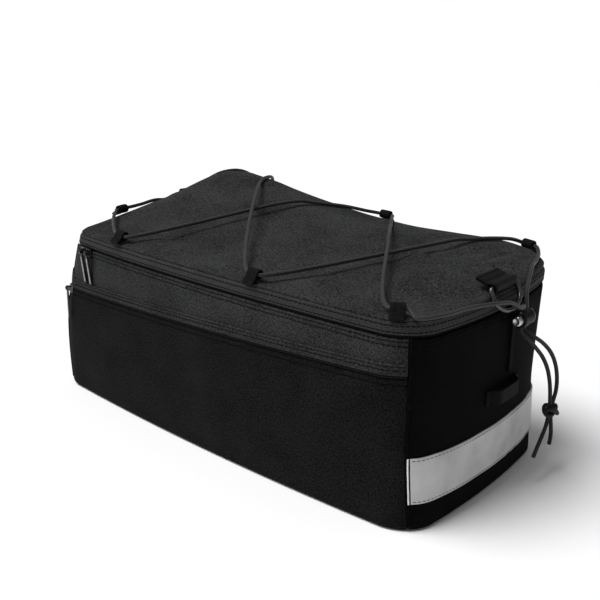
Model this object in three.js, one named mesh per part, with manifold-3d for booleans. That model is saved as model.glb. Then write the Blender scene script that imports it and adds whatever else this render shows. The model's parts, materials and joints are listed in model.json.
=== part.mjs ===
// Insulated bicycle bag: a padded tub with a domed lid, a side pocket and an elastic lace with a cord lock.
// Millimetres. +X runs to the rear of the bicycle, -Y is the pocket side and +Z is up.
// The origin is the middle of the flat base, where the bag rests on a rack.
import * as THREE from "three";
import Module from "manifold-3d";
import { mergeVertices } from "three/addons/utils/BufferGeometryUtils.js";

const wasm = await Module();
wasm.setup();

// Overall sizes of the bag
const LENGTH = 400;
const WIDTH = 211;
const SEAM_HEIGHT = 145.5;
const SEAM_RISE = 5.5;
const LID_CROWN = 33;

// Shape of the outline
const END_BOW = 12.5;
const SIDE_BOW = 7.6;
const REAR_RADIUS = 24;
const FRONT_RADIUS = 18;
const FRONT_LEAN = 26;
const TOP_SHIFT = 2;
const BASE_STRAIGHT = 0.5;
const FRONT_BELLY = 5;
const BELLY_TOP = 0.7;
const END_FLARE = 6;
const TOP_SPREAD = 3.1;
const BASE_TUCK = 1.5;
const WAIST = 0.45;
const BASE_EDGE = 3;

// Cloth, padding and the gap kept between neighbours
const TUB_WALL = 5;
const LID_WALL = 5;
const CLOTH = 2;
const WEBBING = 1.5;
const GAP = 0.3;

// Zips, band and pocket
const BAND_HEIGHT = 8.8;
const ZIP_GROOVE = 2.4;
const ZIP_THICK = 1.6;
const ZIP_TAPE = 7;
const POCKET_DROP_FRONT = 53.5;
const POCKET_DROP_REAR = 35.5;
const POCKET_ZIP_RISE = 9;
const POCKET_DEPTH = 9;
const POCKET_FROM = -0.3;
const POCKET_SPAN = 1.6;
const FLAP_HEIGHT = 8;
const FLAP_THICK = 1.3;

// Reflective strip on the rear end
const STRIP_LOW = 20;
const STRIP_HIGH = 52.5;
const STRIP_THICK = 1;

// Elastic lace, its loops and its lock
const LACE = 3;
const LACE_SIDES = 8;
const LACE_LIFT = 0.9;
const LOOP_WIDTH = 10;
const LOOP_EYE = 7.4;
const LOOP_EYE_HEIGHT = 4.6;
const LOOP_ROOT = 4;
const LOOP_LEAD = 1.5;
const LOCK_DIAMETER = 12;
const LOCK_LENGTH = 15;
const LOCK_WALL = 2;
const LOCK_EDGE = 0.8;
const LOCK_Y = 15.5;
const LOCK_DROP = 17.8;
const LOCK_CORDS = 5;
const BUTTON_LENGTH = 11;
const BUTTON_TRAVEL = 3.5;
const BUTTON_SPARE = 1;
const LOCK_LOOP_DIAMETER = 9;
const LOCK_LOOP_CORD = 2;
const LOCK_LOOP_LEG = 0.7;
const KNOT_DIAMETER = 14;
const KNOT_HOLE = 7.4;
const KNOT_HEIGHT = 9;
const KNOT_TOP = 0.75;
const KNOT_SIDE = 0.4;

// Ring, tab, lamp loop and zip pulls
const TAB_WIDTH = 30;
const TAB_ROOT = 9;
const TAB_FROM_REAR = 17;
const RING_BAR = 3.4;
const RING_WIDTH = 39;
const RING_DROP = 22;
const RING_LEAN = 63;
const RING_ROUND = 0.6;
const RING_EDGE = 0.25;
const LAMP_LOOP_Y = 6.5;
const LAMP_LOOP_WIDTH = 48;
const LAMP_LOOP_HEIGHT = 11;
const LAMP_LOOP_DROP = 69.5;
const LAMP_LOOP_STAND = 5.6;
const LAMP_LOOP_END = 0.16;
const LAMP_LOOP_SEWN = 0.6;
const TETHER_WIDTH = 6;
const TETHER_LENGTH = 40;
const PULL_LENGTH = 30;
const PULL_WIDTH = 3.2;
const PULL_THICK = 1.4;
const PIN_DIAMETER = 1.6;
const EYE_WALL = 0.9;
const SLIDER_LENGTH = 7;
const SLIDER_HEIGHT = 7;
const SLIDER_THICK = 1.6;
const SLIDER_FOOT = 0.6;
const EAR_THICK = 0.9;

// Heights that follow from the sizes above, counted down from the lid's seam
const BAND_LOW = SEAM_HEIGHT - BAND_HEIGHT;
const TUB_TOP = BAND_LOW - ZIP_GROOVE;
const RIM = SEAM_HEIGHT + GAP;
const POCKET_ZIP_FRONT = SEAM_HEIGHT - POCKET_DROP_FRONT;
const POCKET_ZIP_REAR = SEAM_HEIGHT - POCKET_DROP_REAR;
const LOCK_Z = SEAM_HEIGHT - LOCK_DROP;
const LAMP_LOOP_Z = SEAM_HEIGHT - LAMP_LOOP_DROP;

// The outline is one turn of eight stretches, counted from the pocket side towards the rear:
// side, rear corner, rear end, rear corner, side, front corner, front end, front corner.
const TURN = 8;
const SIDE_STEPS = 10;
const END_STEPS = 6;
const CORNER_STEPS = 4;
const SEAM_FROM = -0.5;
const SEAM_TO = 1.5;
const REAR_SEAM_FAR = 3.5;
const SEAM_STEP = 0.05;
const LAST_COLUMN = TURN - 0.02;
const CLOSEST = 0.012;

// Height of the lid over its seam, as shares of the crown: along the bag, then across it
const LID_FORM = [
  { along: -1.0, near: 0.14, middle: 0.55, far: 1.0 },
  { along: -0.84, near: 0.17, middle: 0.58, far: 1.14 },
  { along: -0.62, near: 0.2, middle: 0.45, far: 1.02 },
  { along: -0.37, near: 0.2, middle: 0.39, far: 0.8 },
  { along: -0.155, near: 0.2, middle: 0.38, far: 0.63 },
  { along: 0.05, near: 0.2, middle: 0.37, far: 0.5 },
  { along: 0.25, near: 0.2, middle: 0.36, far: 0.43 },
  { along: 0.46, near: 0.2, middle: 0.36, far: 0.47 },
  { along: 0.7, near: 0.2, middle: 0.41, far: 0.53 },
  { along: 1.0, near: 0.18, middle: 0.37, far: 0.52 },
];
const NEAR_SHARE = -0.8;
const FAR_SHARE = 0.7;
const SIDE_ROLL = 4.5;
const FRONT_ROLL = 14;
const REAR_TIGHT = 0.5;

// Soft dents of the lid: middle and reach as shares of the half sizes, depth as a share of the crown
const LID_DENTS = [
  { along: 0.4, across: -0.25, reachAlong: 0.12, reachAcross: 0.5, depth: 0.07 },
  { along: 0.66, across: 0.35, reachAlong: 0.2, reachAcross: 0.16, depth: 0.08 },
  { along: -0.2, across: 0.1, reachAlong: 0.1, reachAcross: 0.5, depth: 0.05 },
  { along: -0.55, across: -0.55, reachAlong: 0.2, reachAcross: 0.14, depth: 0.05 },
];

// Loops that hold the lace: place on the outline, and the way the lace runs through,
// 1 with the outline and -1 against it
const LACE_LOOPS = [
  { name: "near_rear", place: 1.32, way: -1 },
  { name: "far_middle", place: 4.42, way: 1 },
  { name: "near_front", place: 0.19, way: -1 },
  { name: "front_near", place: 6.76, way: -1 },
  { name: "front_far", place: 6.24, way: -1 },
  { name: "far_front", place: 4.9, way: -1 },
  { name: "near_middle", place: 0.672, way: 1 },
  { name: "far_rear", place: 3.9, way: -1 },
];

// The lace on the rear end, from the lock to the first loop and from the last loop back to the lock:
// place on the outline, height against the lid's seam and distance out from the wall
const LACE_TO_LOOPS = [
  { place: 2.53, over: -7.5, out: 10.5 },
  { place: 2.46, over: -2, out: 9.5 },
  { place: 2.36, over: 1, out: 7.4 },
  { place: 2.2, over: 2.6, out: 2.6 },
  { place: 2.0, over: 3.4, out: 2 },
  { place: 1.6, over: 3.6, out: 1.5 },
];
const LACE_TO_LOCK = [
  { place: 3.2, over: 10, out: -6 },
  { place: 2.86, over: 10, out: -3 },
  { place: 2.72, over: 6, out: 2.5 },
  { place: 2.64, over: -1, out: 6 },
];

// Points that the lace passes on the lid between two loops, as shares of the lid's half sizes.
// "lifts" marks the stretch that lies over another where the two cross.
const LACE_ON_LID = {
  far_middle: { lifts: true, by: [[0.7, -0.6], [0.525, -0.18], [0.427, 0.079]] },
  near_front: { lifts: false, by: [[-0.09, 0.78], [-0.245, 0.47], [-0.385, 0.07], [-0.45, -0.33]] },
  near_middle: { lifts: true, by: [[-0.6, 0.8], [-0.545, 0.553], [-0.43, 0.221], [-0.35, 0.0]] },
  far_rear: { lifts: false, by: [[0.276, -0.698], [0.343, -0.18], [0.427, 0.079], [0.627, 0.499]] },
};
const CROSSING_SHARES = [[-0.385, 0.08], [0.427, 0.079]];
const CROSSING_REACH = 14;

// Free ends of the lace below the lock, down to the knot and on to their tips, and the knot's middle,
// all counted from the lock's own middle
const TAIL_NEAR = [
  [4.6, 0.9, -15], [7.2, 8.4, -22.5], [10, 16.9, -32], [11.8, 23.9, -43], [12.6, 29, -55],
  [12.9, 32, -66], [12.9, 33.6, -74], [12.9, 33.7, -79.5], [12.9, 33.6, -85], [13.2, 30.8, -91],
  [13.7, 23.9, -98], [14.1, 17.4, -104], [14.3, 12.4, -109.5],
];
const TAIL_FAR = [
  [5.8, 7.2, -14.5], [9.4, 15.9, -21], [12.6, 24.4, -30], [14.4, 31, -41], [15, 35.4, -53],
  [14.6, 37.4, -64], [13.4, 37.3, -73], [12.9, 37.1, -79.5], [13.2, 37.3, -85], [13.8, 38.6, -93],
  [14.4, 39.2, -101], [14.6, 38, -108.5],
];
const KNOT_FROM_LOCK = [12.9, 35.4, -79.5];

// Zip sliders round the front corner: distance along the outline from the start of the pocket side,
// and the zip that each runs on
const SLIDERS = [
  { name: "main_zip", mark: "_1", run: 7.9, pocket: false },
  { name: "main_zip", mark: "_2", run: 17, pocket: false },
  { name: "pocket_zip", mark: "", run: -7.4, pocket: true },
];

const group = new THREE.Group();

const COLOURS = {
  cloth: { color: 0x1b1b1d, roughness: 0.85, metalness: 0 },
  binding: { color: 0x222224, roughness: 0.8, metalness: 0 },
  zip: { color: 0x0c0c0d, roughness: 0.6, metalness: 0 },
  webbing: { color: 0x19191b, roughness: 0.8, metalness: 0 },
  reflector: { color: 0xb4b6b8, roughness: 0.35, metalness: 0 },
  elastic: { color: 0x242426, roughness: 0.75, metalness: 0 },
  plastic: { color: 0x0e0e0f, roughness: 0.4, metalness: 0 },
  metal: { color: 0x9a9c9f, roughness: 0.3, metalness: 1 },
};

function addPiece(name, geometry, colour) {
  const mesh = new THREE.Mesh(geometry, new THREE.MeshStandardMaterial(COLOURS[colour]));
  mesh.name = name;
  group.add(mesh);
  return mesh;
}

// Smooth curve through rows of a table, level at both ends
function alongTable(places, values, at) {
  const last = places.length - 1;
  const x = THREE.MathUtils.clamp(at, places[0], places[last]);
  let row = 0;
  while (row < last - 1 && x > places[row + 1]) row += 1;
  const slope = (i) => {
    if (i <= 0 || i >= last) return 0;
    return (values[i + 1] - values[i - 1]) / (places[i + 1] - places[i - 1]);
  };
  const step = places[row + 1] - places[row];
  const t = (x - places[row]) / step;
  return (2 * t ** 3 - 3 * t ** 2 + 1) * values[row] + (t ** 3 - 2 * t ** 2 + t) * step * slope(row)
    + (3 * t ** 2 - 2 * t ** 3) * values[row + 1] + (t ** 3 - t ** 2) * step * slope(row + 1);
}

// Point of a corner's arc, from its start at share 0 to a quarter turn on at share 1
function arcPoint(corner, share) {
  const angle = THREE.MathUtils.degToRad(corner.start + 90 * share);
  const reach = new THREE.Vector2(Math.cos(angle), Math.sin(angle)).multiplyScalar(corner.radius);
  return reach.add(new THREE.Vector2(corner.x, corner.y));
}

// Outline of the bag at height z, seen from above
function planPoint(u, z) {
  const share = z / SEAM_HEIGHT;
  const top = (Math.max(0, share - WAIST) / (1 - WAIST)) ** 1.5;
  const base = (Math.max(0, WAIST - share) / WAIST) ** 1.5;
  const halfLength = LENGTH / 2 - END_FLARE - END_BOW;
  const halfWidth = WIDTH / 2 - SIDE_BOW - TOP_SPREAD * (1 - top) - BASE_TUCK * base;
  const rear = halfLength - REAR_RADIUS;
  const front = -halfLength + FRONT_RADIUS;
  const corners = [
    { x: rear, y: -halfWidth + REAR_RADIUS, radius: REAR_RADIUS, start: -90 },
    { x: rear, y: halfWidth - REAR_RADIUS, radius: REAR_RADIUS, start: 0 },
    { x: front, y: halfWidth - FRONT_RADIUS, radius: FRONT_RADIUS, start: 90 },
    { x: front, y: -halfWidth + FRONT_RADIUS, radius: FRONT_RADIUS, start: 180 },
  ];
  const place = THREE.MathUtils.euclideanModulo(u, TURN);
  const stretch = Math.floor(place);
  const along = place - stretch;
  const point = stretch % 2 === 1
    ? arcPoint(corners[(stretch - 1) / 2], along)
    : arcPoint(corners[(stretch / 2 + 3) % 4], 1).lerp(arcPoint(corners[stretch / 2], 0), along);
  point.y *= 1 + (SIDE_BOW / halfWidth) * (1 - Math.min(1, Math.abs(point.x) / halfLength) ** 2);
  const bow = END_BOW * (1 - BASE_STRAIGHT * base ** 2);
  point.x *= 1 + (bow / halfLength) * (1 - Math.min(1, Math.abs(point.y) / halfWidth) ** 2);
  const pull = Math.min(1, Math.abs(point.x) / halfLength) ** 2;
  point.x += Math.sign(point.x) * pull * END_FLARE * base;
  const belly = Math.sin(Math.PI * THREE.MathUtils.clamp(share / BELLY_TOP, 0, 1));
  if (point.x < 0) point.x += pull * (FRONT_LEAN * top - FRONT_BELLY * belly);
  point.x -= TOP_SHIFT * share;
  return point;
}

// The whole bag grows a little higher towards the rear
const raised = (x, z) => z * (1 + (SEAM_RISE / SEAM_HEIGHT) * (x / LENGTH + 0.5));

// Outward direction of the outline, seen from above
function planNormal(u, z) {
  const nudge = 0.004;
  const run = planPoint(u + nudge, z).sub(planPoint(u - nudge, z)).normalize();
  return new THREE.Vector2(run.y, -run.x);
}

// Point of the wall at height z, moved out from the outline
function wallPoint(u, z, out) {
  const point = planPoint(u, z).addScaledVector(planNormal(u, z), out);
  return new THREE.Vector3(point.x, point.y, raised(point.x, z));
}

// Place on the rear end at a distance from its middle line
const placeOnEnd = (y) => 2.5 + y / (planPoint(3, SEAM_HEIGHT).y - planPoint(2, SEAM_HEIGHT).y);

// Place at a distance along the outline from the start of the pocket side, ahead of it or behind it
const placeByRun = (run) => run / planPoint(0, BAND_LOW).distanceTo(planPoint(Math.sign(run), BAND_LOW));

// The wall turns under the base on a small radius
function underTurn(z) {
  const rise = Math.max(0, BASE_EDGE - z);
  return -(BASE_EDGE - Math.sqrt(BASE_EDGE ** 2 - rise ** 2));
}

// Steps of the outline between two places, both included
function outlineSteps(from, to, extra = []) {
  const steps = [from, to, ...extra];
  for (let stretch = Math.floor(from); stretch < to; stretch += 1) {
    const kind = THREE.MathUtils.euclideanModulo(stretch, 4);
    const count = kind === 0 ? SIDE_STEPS : kind === 2 ? END_STEPS : CORNER_STEPS;
    for (let i = 0; i < count; i += 1) steps.push(stretch + i / count);
  }
  const inside = steps.filter((u) => u >= from && u <= to).sort((a, b) => a - b);
  return inside.filter((u, i) => i === 0 || u - inside[i - 1] > CLOSEST || u === to);
}

// Closed body between an outer and an inner skin. Columns run round the outline, rows run upwards.
// low and high are either null, where a rim joins the skins, or the two points that close the skins.
function shellBody({ columns, rows, outer, inner, closed, low = null, high = null }) {
  const points = [];
  const faces = [];
  const index = (skin, c, r) => (skin * columns.length + (c % columns.length)) * rows + r;
  for (const skin of [outer, inner]) {
    for (const u of columns) {
      for (let r = 0; r < rows; r += 1) points.push(skin(u, r));
    }
  }
  const quad = (a, b, c, d) => faces.push(a, b, c, a, c, d);
  const spans = closed ? columns.length : columns.length - 1;
  for (let c = 0; c < spans; c += 1) {
    for (let r = 0; r < rows - 1; r += 1) {
      quad(index(0, c, r), index(0, c + 1, r), index(0, c + 1, r + 1), index(0, c, r + 1));
      quad(index(1, c, r), index(1, c, r + 1), index(1, c + 1, r + 1), index(1, c + 1, r));
    }
    const top = rows - 1;
    if (!low) quad(index(0, c, 0), index(1, c, 0), index(1, c + 1, 0), index(0, c + 1, 0));
    if (!high) quad(index(0, c, top), index(0, c + 1, top), index(1, c + 1, top), index(1, c, top));
  }
  const closeSkin = (skin, row, middle, up) => {
    points.push(middle);
    const centre = points.length - 1;
    for (let c = 0; c < spans; c += 1) {
      const pair = [index(skin, c, row), index(skin, c + 1, row)];
      faces.push(centre, ...(up ? pair : pair.reverse()));
    }
  };
  if (low) {
    closeSkin(0, 0, low[0], false);
    closeSkin(1, 0, low[1], true);
  }
  if (high) {
    closeSkin(0, rows - 1, high[0], true);
    closeSkin(1, rows - 1, high[1], false);
  }
  if (!closed) {
    for (let r = 0; r < rows - 1; r += 1) {
      const end = columns.length - 1;
      quad(index(0, 0, r), index(0, 0, r + 1), index(1, 0, r + 1), index(1, 0, r));
      quad(index(0, end, r), index(1, end, r), index(1, end, r + 1), index(0, end, r + 1));
    }
  }
  const geometry = new THREE.BufferGeometry();
  geometry.setAttribute("position", new THREE.Float32BufferAttribute(points.flatMap((p) => p.toArray()), 3));
  geometry.setIndex(faces);
  return geometry;
}

// Strip on the wall between two heights. Both may change along the outline, and so may the stand off
// the wall.
function wallStrip({
  from, to, low, high, inner, outer, rows = 2, closed = false, extra = [], stand = () => 0,
}) {
  const columns = closed ? outlineSteps(from, LAST_COLUMN, extra) : outlineSteps(from, to, extra);
  const skin = (out) => (u, r) => {
    const z = THREE.MathUtils.lerp(low(u), high(u), r / (rows - 1));
    return wallPoint(u, z, out + stand(u) + underTurn(z));
  };
  return shellBody({ columns, rows, outer: skin(outer), inner: skin(inner), closed });
}

// Place on the outline counted from the pocket side both ways
const signedPlace = (u) => (u > TURN / 2 ? u - TURN : u);

// How far the tub's wall lies behind the outline where the pocket side's cloth covers it
function tubInset(u, z) {
  const place = signedPlace(THREE.MathUtils.euclideanModulo(u, TURN));
  if (place < SEAM_FROM || place > SEAM_TO) return 0;
  const reach = THREE.MathUtils.clamp((place - POCKET_FROM) / POCKET_SPAN, 0, 1);
  const rise = THREE.MathUtils.clamp(z / TUB_TOP, 0, 1);
  return CLOTH + 2 * GAP + POCKET_DEPTH * Math.sin(Math.PI * reach) ** 2 * Math.sin(Math.PI * rise) ** 2;
}

function bodyTub() {
  const columns = outlineSteps(0, LAST_COLUMN, [
    SEAM_TO, SEAM_TO + SEAM_STEP, TURN + SEAM_FROM - SEAM_STEP, TURN + SEAM_FROM,
  ]);
  const heights = [0, 0.28 * BASE_EDGE, BASE_EDGE, 0.16, 0.34, 0.52, 0.7, 0.86, 1];
  const zOf = (r) => (r < 3 ? heights[r] : heights[r] * TUB_TOP);
  const outer = (u, r) => wallPoint(u, zOf(r), underTurn(zOf(r)) - tubInset(u, zOf(r)));
  const inner = (u, r) => {
    const z = Math.max(TUB_WALL, zOf(r)) + (r < 3 ? 0.02 * r : 0);
    return wallPoint(u, z, -tubInset(u, z) - TUB_WALL - (r < 3 ? (2 - r) * 2 : 0));
  };
  return shellBody({
    columns,
    rows: heights.length,
    outer,
    inner,
    closed: true,
    low: [new THREE.Vector3(0, 0, 0), new THREE.Vector3(0, 0, TUB_WALL)],
  });
}

// Middle line of the pocket zip, which climbs to the rear and rises again round the front corner
function pocketLine(u) {
  const place = signedPlace(THREE.MathUtils.euclideanModulo(u, TURN));
  const share = (planPoint(place, POCKET_ZIP_REAR).x + LENGTH / 2) / LENGTH;
  const rise = POCKET_ZIP_RISE * THREE.MathUtils.clamp(place / SEAM_FROM, 0, 1) ** 1.5;
  return THREE.MathUtils.lerp(POCKET_ZIP_FRONT, POCKET_ZIP_REAR, share) + rise;
}

function pocketSide() {
  const zipLow = (u) => pocketLine(u) - ZIP_GROOVE / 2;
  const zipHigh = (u) => zipLow(u) + ZIP_TAPE;
  addPiece("side_pocket_panel", wallStrip({
    from: SEAM_FROM, to: SEAM_TO, rows: 7, inner: -CLOTH, outer: 0,
    low: () => BASE_EDGE,
    high: (u) => zipLow(u) - GAP,
  }), "cloth");
  addPiece("pocket_zip", wallStrip({
    from: SEAM_FROM, to: SEAM_TO, inner: -CLOTH, outer: ZIP_THICK - CLOTH, low: zipLow, high: zipHigh,
  }), "zip");
  addPiece("side_panel_upper", wallStrip({
    from: SEAM_FROM, to: SEAM_TO, rows: 3, inner: -CLOTH, outer: 0,
    low: (u) => zipHigh(u) + GAP,
    high: () => TUB_TOP,
  }), "cloth");
  addPiece("pocket_flap", wallStrip({
    from: SEAM_FROM, to: SEAM_TO, inner: GAP, outer: GAP + FLAP_THICK,
    low: (u) => zipLow(u) + ZIP_GROOVE,
    high: (u) => zipLow(u) + ZIP_GROOVE + FLAP_HEIGHT,
  }), "cloth");
}

function bandAndZip() {
  addPiece("lid_band", wallStrip({
    from: 0, to: TURN, closed: true, inner: -CLOTH, outer: 0, low: () => BAND_LOW, high: () => SEAM_HEIGHT,
  }), "binding");
  addPiece("main_zip", wallStrip({
    from: 0, to: TURN, closed: true,
    inner: -CLOTH - GAP - ZIP_THICK,
    outer: -CLOTH - GAP,
    low: () => TUB_TOP + GAP,
    high: () => SEAM_HEIGHT,
  }), "zip");
}

// The lid's own middle and its half sizes, from the outline at the seam
const SEAM_FRONT = planPoint(6.5, SEAM_HEIGHT).x;
const SEAM_REAR = planPoint(2.5, SEAM_HEIGHT).x;
const LID_MIDDLE = new THREE.Vector2((SEAM_FRONT + SEAM_REAR) / 2, 0);
const LID_HALF = new THREE.Vector2((SEAM_REAR - SEAM_FRONT) / 2, WIDTH / 2);
const SEAM_LINE = outlineSteps(0, LAST_COLUMN).map((u) => planPoint(u, SEAM_HEIGHT));

// Share of the way from the lid's middle to its seam, 1 on the seam itself
function seamShare(x, y) {
  const target = new THREE.Vector2(x, y).sub(LID_MIDDLE);
  for (let i = 0; i < SEAM_LINE.length; i += 1) {
    const a = SEAM_LINE[i].clone().sub(LID_MIDDLE);
    const b = SEAM_LINE[(i + 1) % SEAM_LINE.length].clone().sub(LID_MIDDLE);
    const area = a.cross(b);
    const toB = target.cross(b) / area;
    const toA = a.cross(target) / area;
    if (toA >= 0 && toB >= 0) return toA + toB;
  }
  return 0;
}

// Height of the lid over its seam, before the roll at the edge
function lidForm(x, y) {
  const along = (x - LID_MIDDLE.x) / LID_HALF.x;
  const across = y / LID_HALF.y;
  const places = LID_FORM.map((row) => row.along);
  const column = (name) => alongTable(places, LID_FORM.map((row) => row[name]), along);
  const columns = [column("near"), column("middle"), column("far")];
  let share = alongTable([NEAR_SHARE, 0, FAR_SHARE], columns, across);
  for (const dent of LID_DENTS) {
    const offAlong = (along - dent.along) / dent.reachAlong;
    const offAcross = (across - dent.across) / dent.reachAcross;
    share -= dent.depth * Math.exp(-(offAlong ** 2) - offAcross ** 2);
  }
  return share * LID_CROWN;
}

// The lid rolls down to its seam, sharper at the front and at the far rear corner than elsewhere
function lidRoll(x, y, share) {
  const along = THREE.MathUtils.clamp((x - LID_MIDDLE.x) / LID_HALF.x, -1, 1);
  const far = THREE.MathUtils.clamp(y / LID_HALF.y, 0, 1);
  const tight = along < 0 ? along ** 2 : REAR_TIGHT * along * far ** 2;
  return Math.sqrt(1 - Math.min(1, share) ** THREE.MathUtils.lerp(SIDE_ROLL, FRONT_ROLL, tight));
}

// Top of the lid above a place in plan
function lidTop(x, y) {
  return raised(x, RIM + lidForm(x, y) * lidRoll(x, y, seamShare(x, y)));
}

// Height at which a cord's middle runs over the lid, clear of its slopes
function overLid(x, y, clearance) {
  const nudge = 1;
  const slopeX = (lidTop(x + nudge, y) - lidTop(x - nudge, y)) / (2 * nudge);
  const slopeY = (lidTop(x, y + nudge) - lidTop(x, y - nudge)) / (2 * nudge);
  return lidTop(x, y) + clearance * Math.min(2.5, Math.hypot(1, slopeX, slopeY));
}

function lidPanel() {
  const shares = [1, 0.985, 0.95, 0.89, 0.81, 0.71, 0.6, 0.48, 0.36, 0.24, 0.12];
  const columns = outlineSteps(0, LAST_COLUMN);
  const skin = (edge, thick) => (u, r) => {
    const seam = wallPoint(u, SEAM_HEIGHT, -edge);
    const x = THREE.MathUtils.lerp(LID_MIDDLE.x, seam.x, shares[r]);
    const y = THREE.MathUtils.lerp(LID_MIDDLE.y, seam.y, shares[r]);
    return new THREE.Vector3(x, y, raised(x, RIM + (lidForm(x, y) - thick) * lidRoll(x, y, shares[r])));
  };
  const { x, y } = LID_MIDDLE;
  const middle = (thick) => new THREE.Vector3(x, y, raised(x, RIM + lidForm(x, y) - thick));
  return shellBody({
    columns,
    rows: shares.length,
    outer: skin(0, 0),
    inner: skin(LID_WALL, LID_WALL),
    closed: true,
    high: [middle(0), middle(LID_WALL)],
  });
}

// Webbing folded round something that it holds: a flat root, then an eye with a round end
function foldedWebbing(root, eyeLength, eyeHeight) {
  const bend = root + eyeLength - eyeHeight / 2;
  const shape = new THREE.Shape();
  shape.moveTo(0, -WEBBING);
  shape.lineTo(root, -WEBBING);
  shape.lineTo(bend, -eyeHeight / 2 - WEBBING);
  shape.absarc(bend, 0, eyeHeight / 2 + WEBBING, -Math.PI / 2, Math.PI / 2, false);
  shape.lineTo(root, WEBBING);
  shape.lineTo(0, WEBBING);
  shape.closePath();
  const eye = new THREE.Path();
  eye.moveTo(root, 0);
  eye.lineTo(bend, eyeHeight / 2);
  eye.absarc(bend, 0, eyeHeight / 2, Math.PI / 2, -Math.PI / 2, true);
  eye.closePath();
  shape.holes.push(eye);
  return shape;
}

// Turns a mesh so that its own x, y and z axes lie along the three directions given
function setAxes(mesh, position, x, y, z) {
  mesh.position.copy(position);
  mesh.quaternion.setFromRotationMatrix(new THREE.Matrix4().makeBasis(x, y, z));
}

// Lies folded webbing on the lid, from its root along a level direction, tilted up or down and lifted clear
function seatOnLid({ start, level, tilt, root, eyeLength, eyeHeight }) {
  const ahead = level.clone().multiplyScalar(Math.cos(tilt)).add(new THREE.Vector3(0, 0, Math.sin(tilt)));
  const side = new THREE.Vector3(level.y, -level.x, 0);
  const up = new THREE.Vector3().crossVectors(side, ahead);
  const reach = root + eyeLength + WEBBING;
  let lift = 0;
  for (let step = 0; step <= 8; step += 1) {
    const distance = (reach * step) / 8;
    const half = WEBBING + (eyeHeight / 2) * THREE.MathUtils.clamp((distance - root) / eyeLength * 2, 0, 1);
    const under = start.clone().addScaledVector(ahead, distance);
    lift = Math.max(lift, (lidTop(under.x, under.y) - under.z) * up.z + half);
  }
  const origin = start.clone().addScaledVector(up, lift + GAP);
  const eye = origin.clone().addScaledVector(ahead, root + eyeLength - eyeHeight / 2);
  return { origin, ahead, up, side, eye };
}

// Where a lace loop lies: root at the seam, eye towards the lid's middle
function loopSeat(place) {
  const normal = planNormal(place, SEAM_HEIGHT);
  const seam = wallPoint(place, RIM, 0);
  const reach = LOOP_ROOT + LOOP_EYE;
  const foot = seam.clone().add(new THREE.Vector3(-normal.x, -normal.y, 0).multiplyScalar(reach));
  const tilt = Math.atan2(lidTop(foot.x, foot.y) - RIM, reach);
  const level = new THREE.Vector3(-normal.x, -normal.y, 0);
  return seatOnLid({
    start: seam, level, tilt, root: LOOP_ROOT, eyeLength: LOOP_EYE, eyeHeight: LOOP_EYE_HEIGHT,
  });
}

function webbingGeometry(shape, width) {
  const geometry = new THREE.ExtrudeGeometry(shape, { depth: width, bevelEnabled: false, curveSegments: 4 });
  geometry.translate(0, 0, -width / 2);
  return geometry;
}

function laceLoops() {
  for (const { name, place } of LACE_LOOPS) {
    const { origin, ahead, up } = loopSeat(place);
    const shape = foldedWebbing(LOOP_ROOT, LOOP_EYE, LOOP_EYE_HEIGHT);
    const mesh = addPiece(`lace_loop_${name}`, webbingGeometry(shape, LOOP_WIDTH), "webbing");
    setAxes(mesh, origin, ahead, up, new THREE.Vector3().crossVectors(ahead, up));
  }
}

// Curve that gives its own stations back, so that a sweep steps closely in bends and widely on straights
class StationCurve extends THREE.Curve {
  constructor(stations) {
    super();
    this.stations = stations;
  }

  getPoint(t) {
    const place = THREE.MathUtils.clamp(t, 0, 1) * (this.stations.length - 1);
    const i = Math.min(Math.floor(place), this.stations.length - 2);
    return this.stations[i].clone().lerp(this.stations[i + 1], place - i);
  }

  getPointAt(t) {
    return this.getPoint(t);
  }

  getTangentAt(t) {
    const i = Math.round(t * (this.stations.length - 1));
    const before = this.stations[Math.max(0, i - 1)];
    const after = this.stations[Math.min(this.stations.length - 1, i + 1)];
    return after.clone().sub(before).normalize();
  }
}

// Picks stations on a smooth curve: a new one where the cord has turned or run far enough
function pickStations(curve, longest, turnDegrees) {
  const fine = curve.getSpacedPoints(Math.ceil(curve.getLength() / 1.5));
  const stations = [fine[0]];
  let from = fine[1].clone().sub(fine[0]);
  for (let i = 1; i < fine.length - 1; i += 1) {
    const heading = fine[i + 1].clone().sub(fine[i]);
    const far = fine[i].distanceTo(stations[stations.length - 1]) > longest;
    const turned = THREE.MathUtils.radToDeg(from.angleTo(heading)) > turnDegrees;
    if (far || turned) {
      stations.push(fine[i]);
      from = heading;
    }
  }
  stations.push(fine[fine.length - 1]);
  return stations;
}

function cordGeometry(points, diameter, longest, turnDegrees) {
  const curve = new THREE.CatmullRomCurve3(points, false, "centripetal");
  const stations = pickStations(curve, longest, turnDegrees);
  const section = new THREE.Shape();
  for (let i = 0; i < LACE_SIDES; i += 1) {
    const angle = (2 * Math.PI * i) / LACE_SIDES;
    const x = (diameter / 2) * Math.cos(angle);
    const y = (diameter / 2) * Math.sin(angle);
    if (i === 0) section.moveTo(x, y);
    else section.lineTo(x, y);
  }
  return new THREE.ExtrudeGeometry(section, {
    steps: stations.length - 1, extrudePath: new StationCurve(stations), bevelEnabled: false,
  });
}

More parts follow.
